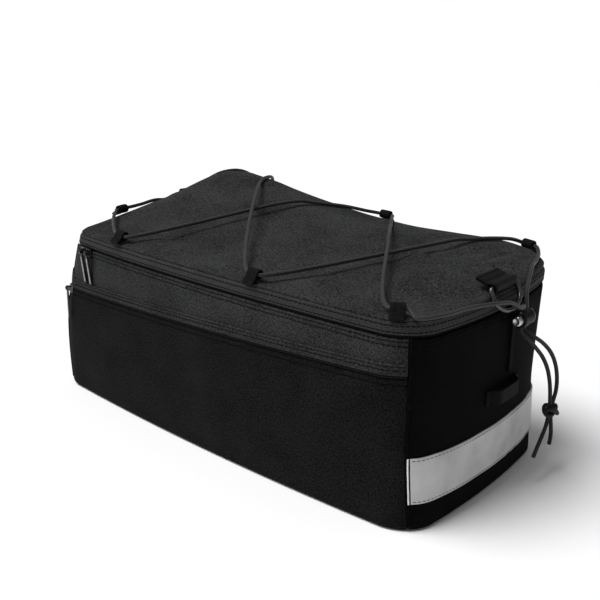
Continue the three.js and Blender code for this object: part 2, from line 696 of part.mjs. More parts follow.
// A stretch of lace pulled tight over the lid through some places in plan, bridging the lid's hollows
function tautStretch(from, to, by, lift) {
  const corners = [from, ...by.map(([x, y]) => new THREE.Vector3(x, y, 0)), to];
  const flat = corners.map((p) => new THREE.Vector3(p.x, p.y, 0));
  const plan = new THREE.CatmullRomCurve3(flat, false, "centripetal");
  const count = 26;
  const hull = [];
  const rises = (a, b, c) => {
    const ab = Math.hypot(b.x - a.x, b.y - a.y);
    const bc = Math.hypot(c.x - b.x, c.y - b.y);
    return (b.z - a.z) / ab <= (c.z - b.z) / bc;
  };
  for (let i = 0; i <= count; i += 1) {
    const point = plan.getPointAt(i / count);
    const ends = i === 0 || i === count;
    point.z = overLid(point.x, point.y, LACE / 2 + LACE_LIFT) + lift(point);
    if (ends) point.z = i === 0 ? from.z : to.z;
    while (hull.length > 1 && rises(hull[hull.length - 2], hull[hull.length - 1], point)) hull.pop();
    hull.push(point);
  }
  return hull;
}

// Three points of the lace inside a loop's eye, in the order in which the lace runs
function throughLoop({ place, way }) {
  const { eye, side } = loopSeat(place);
  const reach = LOOP_WIDTH / 2 + LOOP_LEAD;
  const along = side.clone().multiplyScalar(way);
  return [-reach, 0, reach].map((run) => eye.clone().addScaledVector(along, run));
}


// Point of the lace on the rear end, kept clear of the lid where it lies inside the seam
function onWall({ place, over, out }) {
  const point = wallPoint(place, SEAM_HEIGHT + over, out);
  if (out < 0) point.z = Math.max(point.z, overLid(point.x, point.y, LACE / 2 + 2 * LACE_LIFT));
  return point;
}

const onLid = ([along, across]) => [LID_MIDDLE.x + along * LID_HALF.x, across * LID_HALF.y];

const LOCK_PLACE = placeOnEnd(LOCK_Y);
const LOCK_STAND = GAP + WEBBING + GAP + LOCK_DIAMETER / 2;
const LOCK_MIDDLE = wallPoint(LOCK_PLACE, LOCK_Z, LOCK_STAND);
const LOCK_NORMAL = planNormal(LOCK_PLACE, LOCK_Z);
const LOCK_OUT = new THREE.Vector3(LOCK_NORMAL.x, LOCK_NORMAL.y, 0);
const LOCK_AXIS = new THREE.Vector3(-LOCK_NORMAL.y, LOCK_NORMAL.x, 0);
const LOCK_MOUTH = LOCK_DIAMETER / 2 + GAP;

// Point above or below the lock where a cord goes in
function lockMouth(side, rise) {
  const mouth = LOCK_MIDDLE.clone().addScaledVector(LOCK_AXIS, (side * LOCK_CORDS) / 2);
  return mouth.add(new THREE.Vector3(0, 0, rise));
}

const fromLock = (offset) => new THREE.Vector3(...offset).add(LOCK_MIDDLE);

function laceRoute() {
  const crossings = CROSSING_SHARES.map(onLid);
  const route = [lockMouth(-1, LOCK_MOUTH), lockMouth(-1, LOCK_MOUTH + LACE)];
  route.push(...LACE_TO_LOOPS.map(onWall));
  let last = null;
  for (const loop of LACE_LOOPS) {
    const points = throughLoop(loop);
    if (last) {
      const { lifts, by } = LACE_ON_LID[loop.name] ?? { lifts: false, by: [] };
      const near = (p) => crossings.some(([x, y]) => Math.hypot(p.x - x, p.y - y) < CROSSING_REACH);
      const lift = (p) => (lifts && near(p) ? LACE + LACE_LIFT : 0);
      route.push(...tautStretch(last, points[0], by.map(onLid), lift).slice(1, -1));
    }
    route.push(...points);
    last = points[2];
  }
  route.push(...LACE_TO_LOCK.map(onWall));
  route.push(lockMouth(1, LOCK_MOUTH + LACE), lockMouth(1, LOCK_MOUTH));
  return route;
}

// Closed body turned about its own y axis, from pairs of radius and height
function turnedBody(profile, segments) {
  const points = profile.map(([radius, height]) => new THREE.Vector2(radius, height));
  return new THREE.LatheGeometry([...points, points[0].clone()], segments);
}

function cordLock() {
  const radius = LOCK_DIAMETER / 2;
  const bore = radius - LOCK_WALL;
  const half = LOCK_LENGTH / 2;
  const body = turnedBody([
    [0, half - LOCK_WALL], [bore, half - LOCK_WALL], [bore, -half], [radius - LOCK_EDGE, -half],
    [radius, LOCK_EDGE - half], [radius, half - LOCK_EDGE], [radius - LOCK_EDGE, half], [0, half],
  ], 16);
  const stem = bore - GAP;
  const inner = BUTTON_LENGTH - BUTTON_TRAVEL - BUTTON_SPARE - half;
  const outer = inner - BUTTON_LENGTH;
  const button = turnedBody([
    [0, outer], [stem - LOCK_EDGE, outer], [stem, outer + LOCK_EDGE], [stem, inner], [0, inner],
  ], 14);
  const up = new THREE.Vector3().crossVectors(LOCK_OUT, LOCK_AXIS);
  setAxes(addPiece("cord_lock_body", body, "plastic"), LOCK_MIDDLE, LOCK_OUT, LOCK_AXIS, up);
  setAxes(addPiece("cord_lock_button", button, "metal"), LOCK_MIDDLE, LOCK_OUT, LOCK_AXIS, up);
  const bend = (LOCK_LOOP_DIAMETER - LOCK_LOOP_CORD) / 2;
  const start = half + GAP;
  const loop = [];
  for (let degrees = 0; degrees <= 180; degrees += 20) {
    const angle = THREE.MathUtils.degToRad(degrees);
    loop.push(new THREE.Vector3(0, start + bend * (LOCK_LOOP_LEG + Math.sin(angle)), bend * Math.cos(angle)));
  }
  const legs = [bend, -bend].map((z) => new THREE.Vector3(0, start, z));
  const geometry = cordGeometry([legs[0], ...loop, legs[1]], LOCK_LOOP_CORD, 6, 18);
  setAxes(addPiece("cord_lock_loop", geometry, "elastic"), LOCK_MIDDLE, LOCK_OUT, LOCK_AXIS, up);
}

function tails() {
  const tail = (side, list) => {
    const points = list.map(fromLock);
    return [lockMouth(side, -LOCK_MOUTH), lockMouth(side, -LOCK_MOUTH - LACE), ...points];
  };
  addPiece("cord_tail_near", cordGeometry(tail(-1, TAIL_NEAR), LACE, 9, 14), "elastic");
  addPiece("cord_tail_far", cordGeometry(tail(1, TAIL_FAR), LACE, 9, 14), "elastic");
  const hole = KNOT_HOLE / 2;
  const radius = KNOT_DIAMETER / 2;
  const half = KNOT_HEIGHT / 2;
  const knot = turnedBody([
    [hole, -half], [radius * KNOT_TOP, -half], [radius, -half * KNOT_SIDE],
    [radius, half * KNOT_SIDE], [radius * KNOT_TOP, half], [hole, half],
  ], 14);
  knot.rotateX(Math.PI / 2);
  addPiece("tail_knot", knot, "elastic").position.copy(fromLock(KNOT_FROM_LOCK));
}

// Strips on the rear end, each given by its middle line, its width and its heights
function endStrip({ y, width, low, high, inner, thick, stand, extra }) {
  return wallStrip({
    from: placeOnEnd(y - width / 2), to: placeOnEnd(y + width / 2), low: () => low, high: () => high,
    inner, outer: inner + thick, stand, extra,
  });
}

function rearStrips() {
  addPiece("lock_tether", endStrip({
    y: LOCK_Y, width: TETHER_WIDTH, low: LOCK_Z - TETHER_LENGTH, high: LOCK_Z, inner: GAP, thick: WEBBING,
  }), "webbing");
  const from = placeOnEnd(LAMP_LOOP_Y - LAMP_LOOP_WIDTH / 2);
  const span = placeOnEnd(LAMP_LOOP_Y + LAMP_LOOP_WIDTH / 2) - from;
  const end = span * LAMP_LOOP_END;
  const stand = (u) => {
    const rise = THREE.MathUtils.clamp(Math.min(u - from, from + span - u) / end - LAMP_LOOP_SEWN, 0, 1);
    return LAMP_LOOP_STAND * Math.sin((rise * Math.PI) / 2);
  };
  addPiece("lamp_loop", endStrip({
    y: LAMP_LOOP_Y, width: LAMP_LOOP_WIDTH, inner: GAP, thick: WEBBING, stand,
    low: LAMP_LOOP_Z - LAMP_LOOP_HEIGHT / 2,
    high: LAMP_LOOP_Z + LAMP_LOOP_HEIGHT / 2,
    extra: [LAMP_LOOP_SEWN, 1, 1.3, 1 + LAMP_LOOP_SEWN]
      .flatMap((k) => [from + end * k, from + span - end * k]),
  }), "webbing");
}

function ringAndTab() {
  const rear = LID_MIDDLE.x + LID_HALF.x;
  const eyeHeight = RING_BAR + 3 * GAP;
  const eyeLength = RING_BAR * 2;
  const reach = TAB_ROOT + eyeLength;
  const start = new THREE.Vector3(rear - TAB_FROM_REAR, 0, lidTop(rear - TAB_FROM_REAR, 0));
  const fall = lidTop(rear - TAB_FROM_REAR + reach, 0) - start.z;
  const seat = seatOnLid({
    start, level: new THREE.Vector3(1, 0, 0), tilt: Math.atan2(fall, reach), root: TAB_ROOT,
    eyeLength, eyeHeight,
  });
  const { origin, ahead, up, eye } = seat;
  const shape = foldedWebbing(TAB_ROOT, eyeLength, eyeHeight);
  const tab = addPiece("ring_tab", webbingGeometry(shape, TAB_WIDTH), "webbing");
  setAxes(tab, origin, ahead, up, new THREE.Vector3().crossVectors(ahead, up));
  const outline = (inset) => {
    const half = RING_WIDTH / 2 - inset;
    const bend = RING_DROP * RING_ROUND - inset;
    const low = -RING_DROP + RING_BAR / 2 + inset + bend;
    const path = new THREE.Shape();
    path.moveTo(-half, RING_BAR / 2 - inset);
    path.lineTo(-half, low);
    path.absellipse(0, low, half, bend, Math.PI, 2 * Math.PI, false);
    path.lineTo(half, RING_BAR / 2 - inset);
    path.closePath();
    return path;
  };
  const bevel = RING_BAR * RING_EDGE;
  const ring = outline(bevel);
  ring.holes.push(outline(RING_BAR - bevel));
  const geometry = new THREE.ExtrudeGeometry(ring, {
    depth: RING_BAR - 2 * bevel, bevelEnabled: true, bevelSegments: 1, bevelSize: bevel,
    bevelThickness: bevel, curveSegments: 7,
  });
  geometry.translate(0, 0, bevel - RING_BAR / 2);
  const lean = THREE.MathUtils.degToRad(RING_LEAN);
  const hang = new THREE.Vector3(-Math.cos(lean), 0, Math.sin(lean));
  const across = new THREE.Vector3(0, 1, 0);
  const facing = new THREE.Vector3().crossVectors(across, hang);
  setAxes(addPiece("d_ring", geometry, "metal"), eye, across, hang, facing);
}

// One solid of several closed geometries
function joined(geometries) {
  const solids = geometries.map((geometry) => {
    const bare = geometry.clone();
    bare.deleteAttribute("normal");
    bare.deleteAttribute("uv");
    const welded = mergeVertices(bare);
    return new wasm.Manifold(new wasm.Mesh({
      numProp: 3,
      vertProperties: welded.attributes.position.array,
      triVerts: new Uint32Array(welded.index.array),
    }));
  });
  const mesh = solids.reduce((whole, solid) => whole.add(solid)).getMesh();
  const geometry = new THREE.BufferGeometry();
  geometry.setAttribute("position", new THREE.BufferAttribute(mesh.vertProperties, 3));
  geometry.setIndex(new THREE.BufferAttribute(mesh.triVerts, 1));
  return geometry;
}

// A slider has its plate on the cloth, a foot in the zip's groove and a pin between two ears for its pull.
// Its own x runs along the zip, y up and z out from the wall; the pin's middle is the origin.
function sliders() {
  const eyeRadius = PIN_DIAMETER / 2 + GAP + EYE_WALL;
  const pinOut = GAP + SLIDER_THICK + GAP + eyeRadius;
  for (const { name, mark, run, pocket } of SLIDERS) {
    const place = placeByRun(run);
    const grooveTop = (u) => (pocket ? pocketLine(u) + ZIP_GROOVE / 2 : BAND_LOW);
    const reach = placeByRun(Math.sign(run) * SLIDER_LENGTH / 2) * Math.sign(run);
    const pinZ = Math.min(grooveTop(place - reach), grooveTop(place + reach)) - GAP - SLIDER_HEIGHT / 2;
    const block = (x, y, z, ...size) => new THREE.BoxGeometry(...size).translate(x, y, z);
    const plateOut = -pinOut + GAP + SLIDER_THICK / 2;
    const foot = ZIP_GROOVE - 2 * GAP;
    const footDepth = SLIDER_THICK / 2 + (pocket ? 0 : GAP + CLOTH);
    const footLength = SLIDER_LENGTH * SLIDER_FOOT;
    const earX = PULL_WIDTH / 2 + GAP + EAR_THICK / 2;
    const ears = [-earX, earX].map((x) => block(
      x, 0, (plateOut + PIN_DIAMETER / 2) / 2, EAR_THICK, 2 * PIN_DIAMETER, PIN_DIAMETER / 2 - plateOut,
    ));
    const pinRadius = PIN_DIAMETER / 2;
    const pin = new THREE.CylinderGeometry(pinRadius, pinRadius, 2 * earX, 10).rotateZ(Math.PI / 2);
    const slider = joined([
      block(0, 0, plateOut, SLIDER_LENGTH, SLIDER_HEIGHT, SLIDER_THICK),
      block(0, (SLIDER_HEIGHT - foot) / 2, plateOut - footDepth / 2, footLength, foot, footDepth),
      ...ears, pin,
    ]);
    const normal = planNormal(place, pinZ);
    const along = new THREE.Vector3(-normal.y, normal.x, 0);
    const plateTop = wallPoint(place, pinZ + SLIDER_HEIGHT / 2, 0);
    const climb = plateTop.sub(wallPoint(place, pinZ - SLIDER_HEIGHT / 2, 0));
    const out = new THREE.Vector3().crossVectors(along, climb).normalize();
    const up = new THREE.Vector3().crossVectors(out, along);
    const pinMiddle = wallPoint(place, pinZ, 0).addScaledVector(out, pinOut);
    setAxes(addPiece(`${name}_slider${mark}`, slider, "metal"), pinMiddle, along, up, out);
    const hole = PIN_DIAMETER / 2 + GAP;
    const shape = new THREE.Shape();
    const low = -PULL_LENGTH + eyeRadius;
    const inside = -PULL_THICK / 2;
    const join = Math.acos(PULL_THICK / 2 / eyeRadius);
    shape.absarc(0, 0, eyeRadius, -join, Math.PI + join, false);
    shape.lineTo(inside, low);
    shape.lineTo(-inside, low);
    shape.closePath();
    const eye = new THREE.Path();
    eye.absarc(0, 0, hole, 0, 2 * Math.PI, true);
    shape.holes.push(eye);
    const pull = new THREE.ExtrudeGeometry(shape, { depth: PULL_WIDTH, bevelEnabled: false, curveSegments: 6 });
    pull.translate(0, 0, -PULL_WIDTH / 2);
    const tip = wallPoint(place, pinZ - PULL_LENGTH + eyeRadius, GAP * 2 + PULL_THICK / 2);
    const rise = pinMiddle.clone().sub(tip).normalize();
    rise.addScaledVector(along, -rise.dot(along)).normalize();
    const face = new THREE.Vector3().crossVectors(rise, along);
    setAxes(addPiece(`${name}_pull${mark}`, pull, "metal"), pinMiddle, face, rise, along);
  }
}

addPiece("body_tub", bodyTub(), "cloth");
pocketSide();
bandAndZip();
addPiece("lid_panel", lidPanel(), "cloth");
addPiece("reflective_strip", wallStrip({
  from: SEAM_TO + SEAM_STEP, to: REAR_SEAM_FAR, inner: GAP, outer: GAP + STRIP_THICK,
  low: () => STRIP_LOW,
  high: () => STRIP_HIGH,
}), "reflector");
laceLoops();
addPiece("elastic_lace", cordGeometry(laceRoute(), LACE, 14, 16), "elastic");
cordLock();
tails();
rearStrips();
ringAndTab();
sliders();

export default group;
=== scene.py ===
# %% [markdown]
# # An insulated bicycle bag
# The bag is a padded tub with a domed lid, a side pocket under a flap, and an elastic lace that holds a
# jacket on the lid. Its solids come with the frame, at their real size. This lesson gives them the look of
# the real thing: woven cloth, rolled hems, thread, zips, a braided lace and small metal parts.
# Every soft piece is made again as a finer mesh over its solid, because plain solids have no hems or
# folds, and because the solids themselves must stay as they are.

# %% Load the frame
import json
import math

import bmesh
import bpy
import numpy as np
from mathutils import Matrix, Vector
from mathutils.kdtree import KDTree


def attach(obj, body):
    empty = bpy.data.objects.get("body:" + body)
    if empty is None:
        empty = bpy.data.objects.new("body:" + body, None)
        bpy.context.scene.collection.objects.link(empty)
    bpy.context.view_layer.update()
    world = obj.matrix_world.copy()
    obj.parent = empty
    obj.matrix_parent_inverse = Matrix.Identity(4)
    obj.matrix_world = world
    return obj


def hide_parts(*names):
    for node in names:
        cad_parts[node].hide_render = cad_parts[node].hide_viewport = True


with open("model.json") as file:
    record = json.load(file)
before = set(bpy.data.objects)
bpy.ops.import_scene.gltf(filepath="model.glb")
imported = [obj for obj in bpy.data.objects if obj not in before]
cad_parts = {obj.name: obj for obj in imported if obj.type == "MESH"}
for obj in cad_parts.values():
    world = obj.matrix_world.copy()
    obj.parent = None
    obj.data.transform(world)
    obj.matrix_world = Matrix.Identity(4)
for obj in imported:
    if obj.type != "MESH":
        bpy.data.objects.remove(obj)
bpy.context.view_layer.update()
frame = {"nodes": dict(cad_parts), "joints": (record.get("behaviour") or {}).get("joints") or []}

nodes = frame["nodes"]

# %% [markdown]
# ## The camera
# The picture is taken from behind the bag and a little above it, from the pocket side, with the long
# side and the rear end both in view. A camera can be aimed with an empty and a constraint, but three
# angles and a place say the same thing in four plain values, and they can be read back later.
# A small shift keeps the bag where it stands in the frame without turning the camera away from it.

# %% Camera
CAMERA_PLACE = Vector((0.4611, -0.5511, 0.3514))
CAMERA_AZIMUTH = math.radians(40.70)
CAMERA_ELEVATION = math.radians(19.11)
CAMERA_ROLL = math.radians(1.33)
CAMERA_LENS = 54.88
CAMERA_SHIFT = (0.0362, -0.005)

camera = bpy.data.objects.new("camera", bpy.data.cameras.new("camera"))
camera.data.lens = CAMERA_LENS
camera.data.sensor_width = 36
camera.data.shift_x, camera.data.shift_y = CAMERA_SHIFT
camera.data.clip_start = 0.01
back = Vector((
    math.sin(CAMERA_AZIMUTH) * math.cos(CAMERA_ELEVATION),
    -math.cos(CAMERA_AZIMUTH) * math.cos(CAMERA_ELEVATION),
    math.sin(CAMERA_ELEVATION),
))
level = Vector((math.cos(CAMERA_AZIMUTH), math.sin(CAMERA_AZIMUTH), 0))
upright = back.cross(level)
right = level * math.cos(CAMERA_ROLL) + upright * math.sin(CAMERA_ROLL)
upward = upright * math.cos(CAMERA_ROLL) - level * math.sin(CAMERA_ROLL)
turn = Matrix((right, upward, back)).transposed().to_4x4()
camera.matrix_world = Matrix.Translation(CAMERA_PLACE) @ turn
bpy.context.scene.collection.objects.link(camera)
bpy.context.scene.camera = camera
print("camera", tuple(round(c, 3) for c in CAMERA_PLACE), "lens", CAMERA_LENS)

# %% [markdown]
# ## Meshes from rows of points
# Nearly every piece here is a closed skin: a section carried along a line, as a hem is carried round the
# bag or a tube along its cord. Blender could do this with bevelled curves, but points worked out with
# numpy keep the hems exactly on the wall. Each point also gets its place on the cloth in metres, in an
# attribute named weave, so that the woven pattern has its real size on every piece without a UV map.

# %% Skins and sweeps
WEAVE = "weave"


def add_mesh(name, points, faces, weave=None, sharp=40):
    """An object of these points and faces, shaded smooth except at edges sharper than the given degrees."""
    mesh = bpy.data.meshes.new(name)
    mesh.from_pydata([tuple(p) for p in points], [], faces)
    if weave is not None:
        layer = mesh.attributes.new(WEAVE, "FLOAT_VECTOR", "POINT")
        layer.data.foreach_set("vector", np.asarray(weave, np.float32).ravel())
    bm = bmesh.new()
    bm.from_mesh(mesh)
    bmesh.ops.recalc_face_normals(bm, faces=bm.faces)
    bm.to_mesh(mesh)
    bm.free()
    mesh.shade_smooth()
    mesh.set_sharp_from_angle(angle=math.radians(sharp))
    piece = bpy.data.objects.new(name, mesh)
    bpy.context.scene.collection.objects.link(piece)
    return piece


def lengths_along(points):
    """Distance run at each point of a line, or of each of many lines side by side."""
    steps = np.linalg.norm(np.diff(points, axis=0), axis=-1)
    return np.concatenate([np.zeros((1, *steps.shape[1:])), np.cumsum(steps, axis=0)])


def skin(name, points, closed=False, weave=None, sharp=40):
    """A closed skin over points[step, place in the section]. It closes on itself, or has flat ends."""
    steps, places = points.shape[:2]
    if weave is None:
        run = np.repeat(lengths_along(points.mean(axis=1))[:, None], places, axis=1)
        ring = np.repeat(lengths_along(points[0])[None, :], steps, axis=0)
        weave = np.stack([run, ring, np.zeros_like(run)], -1)
    faces = []
    for i in range(steps if closed else steps - 1):
        j = (i + 1) % steps
        for k in range(places):
            m = (k + 1) % places
            faces.append((i * places + k, j * places + k, j * places + m, i * places + m))
    if not closed:
        faces.append(tuple(range(places)))
        faces.append(tuple((steps - 1) * places + k for k in range(places)))
    return add_mesh(name, points.reshape(-1, 3), faces, weave.reshape(-1, 3), sharp)


def sweep(name, centres, across, outward, section, closed=False, sharp=40):
    """Carries a section, given as pairs (across, outward), along a line of centres."""
    across = np.broadcast_to(across, centres.shape)
    outward = np.broadcast_to(outward, centres.shape)
    points = (centres[:, None] + section[None, :, :1] * across[:, None]
              + section[None, :, 1:] * outward[:, None])
    return skin(name, points, closed, sharp=sharp)


def round_section(diameter, sides=12):
    angles = np.linspace(0, 2 * np.pi, sides, endpoint=False)
    return np.stack([np.cos(angles), np.sin(angles)], -1) * diameter / 2


def flat_section(width, thick, corners=4):
    """A flat strap's section: a rectangle whose edges are round."""
    radius = thick / 2
    angles = np.linspace(-np.pi / 2, np.pi / 2, corners + 1)
    side = np.stack([width / 2 - radius + radius * np.cos(angles), radius * np.sin(angles)], -1)
    inner = np.linspace(0.75, -0.75, 4)[:, None] * np.array([[width / 2, 0]]) + np.array([[0, radius]])
    return np.concatenate([side, inner, -side, -inner])


def unit(vectors):
    return vectors / np.linalg.norm(vectors, axis=-1, keepdims=True)


def faces_round(columns, rows):
    """Faces of a skin whose columns close into a ring, with a flat end below and above."""
    faces = [
        (c * rows + r, (c + 1) % columns * rows + r, (c + 1) % columns * rows + r + 1, c * rows + r + 1)
        for c in range(columns) for r in range(rows - 1)
    ]
    faces.append(tuple(c * rows for c in range(columns)))
    faces.append(tuple(c * rows + rows - 1 for c in range(columns)))
    return faces


def hermite(t, start, end, leave, arrive):
    """A smooth way from start to end, with the slopes at which it leaves and arrives."""
    return ((2 * t**3 - 3 * t**2 + 1) * start + (t**3 - 2 * t**2 + t) * leave
            + (3 * t**2 - 2 * t**3) * end + (t**3 - t**2) * arrive)


def tree_of(points):
    """A search tree that finds the nearest of these points."""
    tree = KDTree(len(points))
    for i, point in enumerate(points):
        tree.insert(point, i)
    tree.balance()
    return tree


# %% Smooth lines through chosen points
CUTS = 16


def smooth_line(points, step):
    """A smooth line through points, cut into equal steps about this long."""
    points = np.asarray(points, float)
    knots = np.concatenate([[0], np.cumsum(np.linalg.norm(np.diff(points, axis=0), axis=1) ** 0.5)])
    gaps = np.diff(knots)[:, None]
    slopes = np.diff(points, axis=0) / gaps
    inner = (slopes[:-1] * gaps[1:] + slopes[1:] * gaps[:-1]) / (gaps[1:] + gaps[:-1])
    tangents = np.concatenate([slopes[:1], inner, slopes[-1:]])
    t = np.linspace(0, 1, CUTS, endpoint=False)[:, None]
    dense = [
        hermite(t, points[i], points[i + 1], tangents[i] * gap, tangents[i + 1] * gap)
        for i, gap in enumerate(gaps)
    ]
    dense = np.concatenate([*dense, points[-1:]])
    return even_steps(dense, step)


def even_steps(line, step):
    run = lengths_along(line)
    count = max(2, round(run[-1] / step)) + 1
    at = np.linspace(0, run[-1], count)
    return np.stack([np.interp(at, run, line[:, k]) for k in range(3)], -1)


def tangents_of(line, closed=False):
    if closed:
        return unit(np.roll(line, -1, axis=0) - np.roll(line, 1, axis=0))
    return unit(np.gradient(line, axis=0))


def tube(name, line, diameter, sides=12):
    """A round cord along a line. Its section is carried without twisting."""
    ahead = tangents_of(line)
    side = unit(np.cross(ahead[0], (0.3, 0.5, 0.8)))
    sides_at = [side]
    for i in range(1, len(line)):
        side = side - ahead[i] * np.dot(side, ahead[i])
        side = side / np.linalg.norm(side)
        sides_at.append(side)
    across = np.array(sides_at)
    section = round_section(diameter, sides)
    piece = sweep(name, line, across, np.cross(ahead, across), section, sharp=60)
    turns = np.tile(np.linspace(0, 1, sides, endpoint=False), len(line))
    run = np.repeat(lengths_along(line), sides)
    weave = np.stack([run, turns, np.zeros_like(run)], -1)
    piece.data.attributes[WEAVE].data.foreach_set("vector", weave.astype(np.float32).ravel())
    return piece


# %% Dressing a piece
def dress(piece, material, stands_for=(), body="bag"):
    """Gives a piece its material, and lets it ride on a body in place of its solids."""
    piece.data.materials.clear()
    piece.data.materials.append(material)
    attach(piece, body)
    if stands_for:
        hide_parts(*stands_for)
    return piece


# %% [markdown]
# ## Finishes: woven cloth
# The bag is sewn from a coarse polyester cloth. A plain weave is two sets of threads that pass over and
# under each other, so its height is one wave along times one wave across, and that small product is all
# the bump needs. The dye is uneven from thread to thread, which shows at arm's length as a fine speckle
# over the black: two noises, one drawn out along the warp and one along the weft. Wider clouds of grey
# stand for handling and dust. The waves read the weave attribute, so the threads keep their real size,
# and a little sheen gives the dull edge light of cloth. Five cuts of cloth differ in how dark they are.
# Two of them, for the pocket panel and the rear end, are darker copies of the bag's cloth that hold
# painted shade: the shade that falls on those faces is painted into their grey.

# %% Helpers for materials
def new_material(name):
    material = bpy.data.materials.new(name)
    material.use_nodes = True
    material.node_tree.nodes.clear()
    return material, material.node_tree.nodes, material.node_tree.links


def shader_of(material_nodes, links, **values):
    """A principled shader whose plain values are set on its own sockets, joined to the output."""
    shader = material_nodes.new("ShaderNodeBsdfPrincipled")
    for socket, value in values.items():
        shader.inputs[socket.replace("_", " ")].default_value = value
    output = material_nodes.new("ShaderNodeOutputMaterial")
    links.new(shader.outputs["BSDF"], output.inputs["Surface"])
    return shader


def math_node(material_nodes, links, operation, first, second=None):
    node = material_nodes.new("ShaderNodeMath")
    node.operation = operation
    for socket, value in zip(node.inputs, (first, second)):
        if value is None:
            continue
        if isinstance(value, (int, float)):
            socket.default_value = value
        else:
            links.new(value, socket)
    return node.outputs[0]


def noise_node(material_nodes, links, vector, size, detail=2.0):
    """Noise whose blotches are about this many metres wide."""
    node = material_nodes.new("ShaderNodeTexNoise")
    node.inputs["Scale"].default_value = 1 / size
    node.inputs["Detail"].default_value = detail
    links.new(vector, node.inputs["Vector"])
    return node.outputs["Fac"]


def ramp_node(material_nodes, links, value, stops):
    """Colours between the given stops, each a place and a grey or a colour."""
    node = material_nodes.new("ShaderNodeValToRGB")
    node.color_ramp.elements[0].position = stops[0][0]
    node.color_ramp.elements[1].position = stops[-1][0]
    for place, _ in stops[1:-1]:
        node.color_ramp.elements.new(place)
    for element, (_, colour) in zip(node.color_ramp.elements, stops):
        grey = isinstance(colour, (int, float))
        element.color = (colour, colour, colour, 1) if grey else (*colour, 1)
    links.new(value, node.inputs["Fac"])
    return node.outputs["Color"]


def bump_node(material_nodes, links, height, distance, strength=1.0, below=None):
    node = material_nodes.new("ShaderNodeBump")
    node.inputs["Strength"].default_value = strength
    node.inputs["Distance"].default_value = distance
    links.new(height, node.inputs["Height"])
    if below is not None:
        links.new(below, node.inputs["Normal"])
    return node.outputs["Normal"]


def weave_axes(material_nodes, links):
    attribute = material_nodes.new("ShaderNodeAttribute")
    attribute.attribute_name = WEAVE
    split = material_nodes.new("ShaderNodeSeparateXYZ")
    links.new(attribute.outputs["Vector"], split.inputs[0])
    return attribute.outputs["Vector"], split.outputs[0], split.outputs[1]


# %% Woven cloth
CLOUD_WIDTH, CLOUD_SHARE, CRUMPLE = 0.035, 0.22, 0.0011
STREAKS = ((0.55, 1, 0.55), (1, 0.55, 1))
STREAK_WIDTH, STREAK_SHARE, CROSSING_SHARE = 1.5, 0.39, 0.03
DARKEST, LIGHTEST = 0.38, 0.62


def woven(name, dark, light, thread, relief, roughness, sheen):
    """Plain-woven cloth: grey from dark to light, threads this wide and this high in metres."""
    material, kit, links = new_material(name)
    shader = shader_of(kit, links, Roughness=roughness, Sheen_Weight=sheen, Sheen_Roughness=0.45,
                       Specular_IOR_Level=0.05)
    shader.inputs["Sheen Tint"].default_value = (0.75, 0.77, 0.8, 1)
    vector, along, up = weave_axes(kit, links)
    warp = math_node(kit, links, "SINE", math_node(kit, links, "MULTIPLY", along, math.pi / thread))
    weft = math_node(kit, links, "SINE", math_node(kit, links, "MULTIPLY", up, math.pi / thread))
    cross = math_node(kit, links, "MULTIPLY", warp, weft)
    clouds = noise_node(kit, links, vector, CLOUD_WIDTH, detail=4)
    tone = math_node(kit, links, "MULTIPLY", clouds, CLOUD_SHARE)
    for streak in STREAKS:
        drawn = kit.new("ShaderNodeVectorMath")
        drawn.operation = "MULTIPLY"
        drawn.inputs[1].default_value = streak
        links.new(vector, drawn.inputs[0])
        speckle = noise_node(kit, links, drawn.outputs[0], thread * STREAK_WIDTH, detail=1)
        tone = math_node(kit, links, "ADD", tone, math_node(kit, links, "MULTIPLY", speckle, STREAK_SHARE))
    tone = math_node(kit, links, "ADD", tone, math_node(kit, links, "MULTIPLY", cross, CROSSING_SHARE))
    grey = ramp_node(kit, links, tone, [(DARKEST, dark), (LIGHTEST, light)])
    links.new(grey, shader.inputs["Base Color"])
    threads = bump_node(kit, links, cross, relief, 0.8)
    crumple = bump_node(kit, links, clouds, CRUMPLE, 0.5, threads)
    links.new(crumple, shader.inputs["Normal"])
    return material


CLOTH = woven(
    "bag_cloth", dark=(0.0056, 0.0057, 0.006), light=(0.042, 0.0425, 0.0436),
    thread=0.0007, relief=0.00018, roughness=0.85, sheen=0.03)
# painted shade: the pocket panel's cloth is the bag's cloth made darker, for the shade on the pocket side
POCKET_SHADE_CLOTH = woven(
    "pocket_shade_cloth", dark=(0.0012, 0.0012, 0.0013), light=(0.0125, 0.0127, 0.0132),
    thread=0.0007, relief=0.00018, roughness=0.9, sheen=0.012)
# painted shade: the rear end's cloth is the bag's cloth made much darker, for the deep shade on the rear end;
# the corner piping takes it too
REAR_SHADE_CLOTH = woven(
    "rear_shade_cloth", dark=(0.0004, 0.0004, 0.0005), light=(0.0032, 0.0033, 0.0036),
    thread=0.0006, relief=0.0001, roughness=0.9, sheen=0.004)
BINDING = woven(
    "binding", dark=(0.014, 0.0142, 0.0148), light=(0.046, 0.0465, 0.048),
    thread=0.0005, relief=0.00012, roughness=0.75, sheen=0.06)
ZIP_TAPE = woven(
    "zip_tape", dark=(0.001, 0.001, 0.0011), light=(0.004, 0.004, 0.0042),
    thread=0.0004, relief=0.00008, roughness=0.8, sheen=0.01)
print("cloth in", [m.name for m in (CLOTH, POCKET_SHADE_CLOTH, REAR_SHADE_CLOTH, BINDING, ZIP_TAPE)])

# %% [markdown]
# ## Finishes: webbing, braid, thread, plastic and metal
# Webbing has ribs across its width, so one wave along it is enough. The lace is a rubber core in a
# braided sleeve: two sets of threads wind round it in opposite directions, which is again a product of
# two waves, now slanting. The reflective strip is a smooth grey film full of tiny beads; it takes a soft
# wide highlight. A broad noise dents the film and makes its grey darker in the dents: painted shade
# for the dents of the cloth below.

# %% Webbing, braid, plastic and metal
WARP_WIDTH, WARP_HEIGHT = 1.4, 0.6
BRAID_PITCH, BRAID_STRANDS = 0.0026, 4


